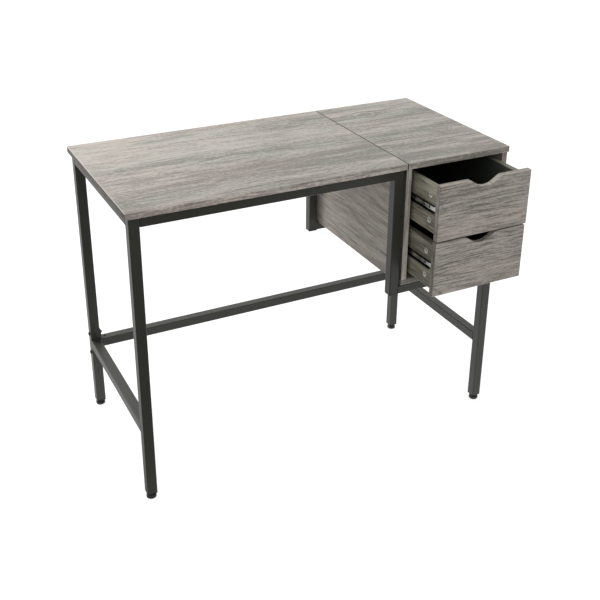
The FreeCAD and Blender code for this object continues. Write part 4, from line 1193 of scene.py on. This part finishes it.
@dataclass
class Studio:
    """Pale floor, white surroundings and a soft lamp."""

    floor_half: float = 14.0
    floor_drop: float = 0.5 * MILLIMETRE
    floor_colour: Colour = (0.90, 0.90, 0.90)
    floor_share: float = 0.55
    floor_glow: float = 1.45
    near_mirror: tuple[float, float] = (-0.85, 0.05)
    far_mirror: tuple[float, float] = (-0.40, 1.0)
    sky_strength: float = 0.70
    lamps: tuple[Lamp, ...] = (
        Lamp("rear_left_softbox", (-1.05, 1.2, 2.15), (-0.1, 0.0, 0.6), 0.8, 27.0),
    )

    @staticmethod
    def seen(tree: NodeTree) -> Signal:
        """One for rays that show the surroundings: camera, mirror and glass rays.

        Args:
            tree: Tree to work in.

        Returns:
            The kind of ray as a signal.
        """
        names = ("Is Camera Ray", "Is Glossy Ray", "Is Transmission Ray")
        camera, glossy, clear = (tree.node("ShaderNodeLightPath", {}, {}, name) for name in names)
        either = tree.node("ShaderNodeMath", {"operation": "MAXIMUM"}, {0: camera, 1: glossy})
        return tree.node("ShaderNodeMath", {"operation": "MAXIMUM"}, {0: either, 1: clear})

    def build_floor(self) -> None:
        """Lay the floor, which glows for the camera, keeps part of the shadow and is dim in left mirrors."""
        half = self.floor_half
        mesh = bpy.data.meshes.new("floor")
        corners = [(-half, -half, 0), (half, -half, 0), (half, half, 0), (-half, half, 0)]
        mesh.from_pydata(corners, [], [(0, 1, 2, 3)])
        floor = bpy.data.objects.new("floor", mesh)
        floor.location.z = -self.floor_drop
        bpy.context.scene.collection.objects.link(floor)
        shader = Shader("pale_floor")
        matt = shader.node("ShaderNodeBsdfDiffuse", {}, {"Color": self.floor_colour})
        camera = shader.node("ShaderNodeLightPath", {}, {}, "Is Camera Ray")
        (near, dim), (far, bright) = self.near_mirror, self.far_mirror
        x, y, _ = shader.place()
        mirrored = shader.rescale(x + y, (near, far), (dim, bright))
        strength = shader.between(mirrored, self.floor_glow, camera)
        glow = shader.node("ShaderNodeEmission", {}, {"Color": (1.0, 1.0, 1.0), "Strength": strength})
        share = self.seen(shader) - camera * (1.0 - self.floor_share)
        shader.node_output(shader.node("ShaderNodeMixShader", {}, {0: share, 1: matt, 2: glow}))
        mesh.materials.append(shader.material)

    def build_sky(self) -> None:
        """Surround the scene with white that shows at full strength and lights at a plain level."""
        world = bpy.data.worlds.new("white_room")
        world.use_nodes = True
        world.node_tree.nodes.clear()
        tree = NodeTree(world.node_tree)
        strength = self.sky_strength + self.seen(tree) * (1.0 - self.sky_strength)
        light = tree.node("ShaderNodeBackground", {}, {"Color": (1.0, 1.0, 1.0), "Strength": strength})
        end = world.node_tree.nodes.new("ShaderNodeOutputWorld")
        world.node_tree.links.new(light.socket, end.inputs["Surface"])
        bpy.context.scene.world = world

    def build(self) -> None:
        """Set up floor, surroundings and lamps."""
        self.build_floor()
        self.build_sky()
        for lamp in self.lamps:
            lamp.build()
        bpy.context.scene.view_settings.view_transform = "Standard"
        log.info("studio with %d lamps", len(self.lamps))


@dataclass(frozen=True)
class Viewpoint:
    """The camera, at the front left and above the top."""

    place: Point = (-0.9973, -1.9694, 1.5347)
    heading: float = 26.942
    pitch: float = 23.984
    roll: float = 0.410
    lens: float = 56.995
    sensor: float = 36.0
    shift: tuple[float, float] = (0.0, -0.12)

    def build(self) -> None:
        """Put up the camera and make it the scene's own."""
        data = bpy.data.cameras.new("viewpoint")
        data.lens = self.lens
        data.sensor_width = self.sensor
        data.shift_x, data.shift_y = self.shift
        camera = bpy.data.objects.new("viewpoint", data)
        turned = Matrix.Rotation(math.radians(-self.heading), 4, "Z")
        tilted = Matrix.Rotation(math.radians(90.0 - self.pitch), 4, "X")
        rolled = Matrix.Rotation(math.radians(self.roll), 4, "Z")
        camera.matrix_world = Matrix.Translation(self.place) @ turned @ tilted @ rolled
        bpy.context.scene.collection.objects.link(camera)
        bpy.context.scene.camera = camera


def write_sizes() -> None:
    """Bring the view layer up to date."""
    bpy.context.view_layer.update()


def main() -> None:
    """Dress the part, add its small forms and set up studio and camera."""
    # Near-black material for the painted shade in screw and cam recesses and in the slide holes.
    recess = MouldedPlastic(paint(26, 26, 25), 0.6).make("dark_recess")
    tube_frame = TubeFrame()
    tube_frame.dress()
    tube_frame.build(recess)
    boards = Boards()
    boards.dress()
    # Black strip as painted shade in the seam between the tops.
    boards.build_seam_shade_strip()
    upper = Drawer("upper", grain_shift=19.52, lift=0.05)
    lower = Drawer("lower", grain_shift=31.6, lift=0.08)
    for drawer in (upper, lower):
        drawer.dress()
        drawer.build(recess)
    Studio().build()
    Viewpoint().build()
    write_sizes()


if __name__ == "__main__":
    logging.basicConfig(level=logging.INFO, format="%(name)s: %(message)s")
    main()
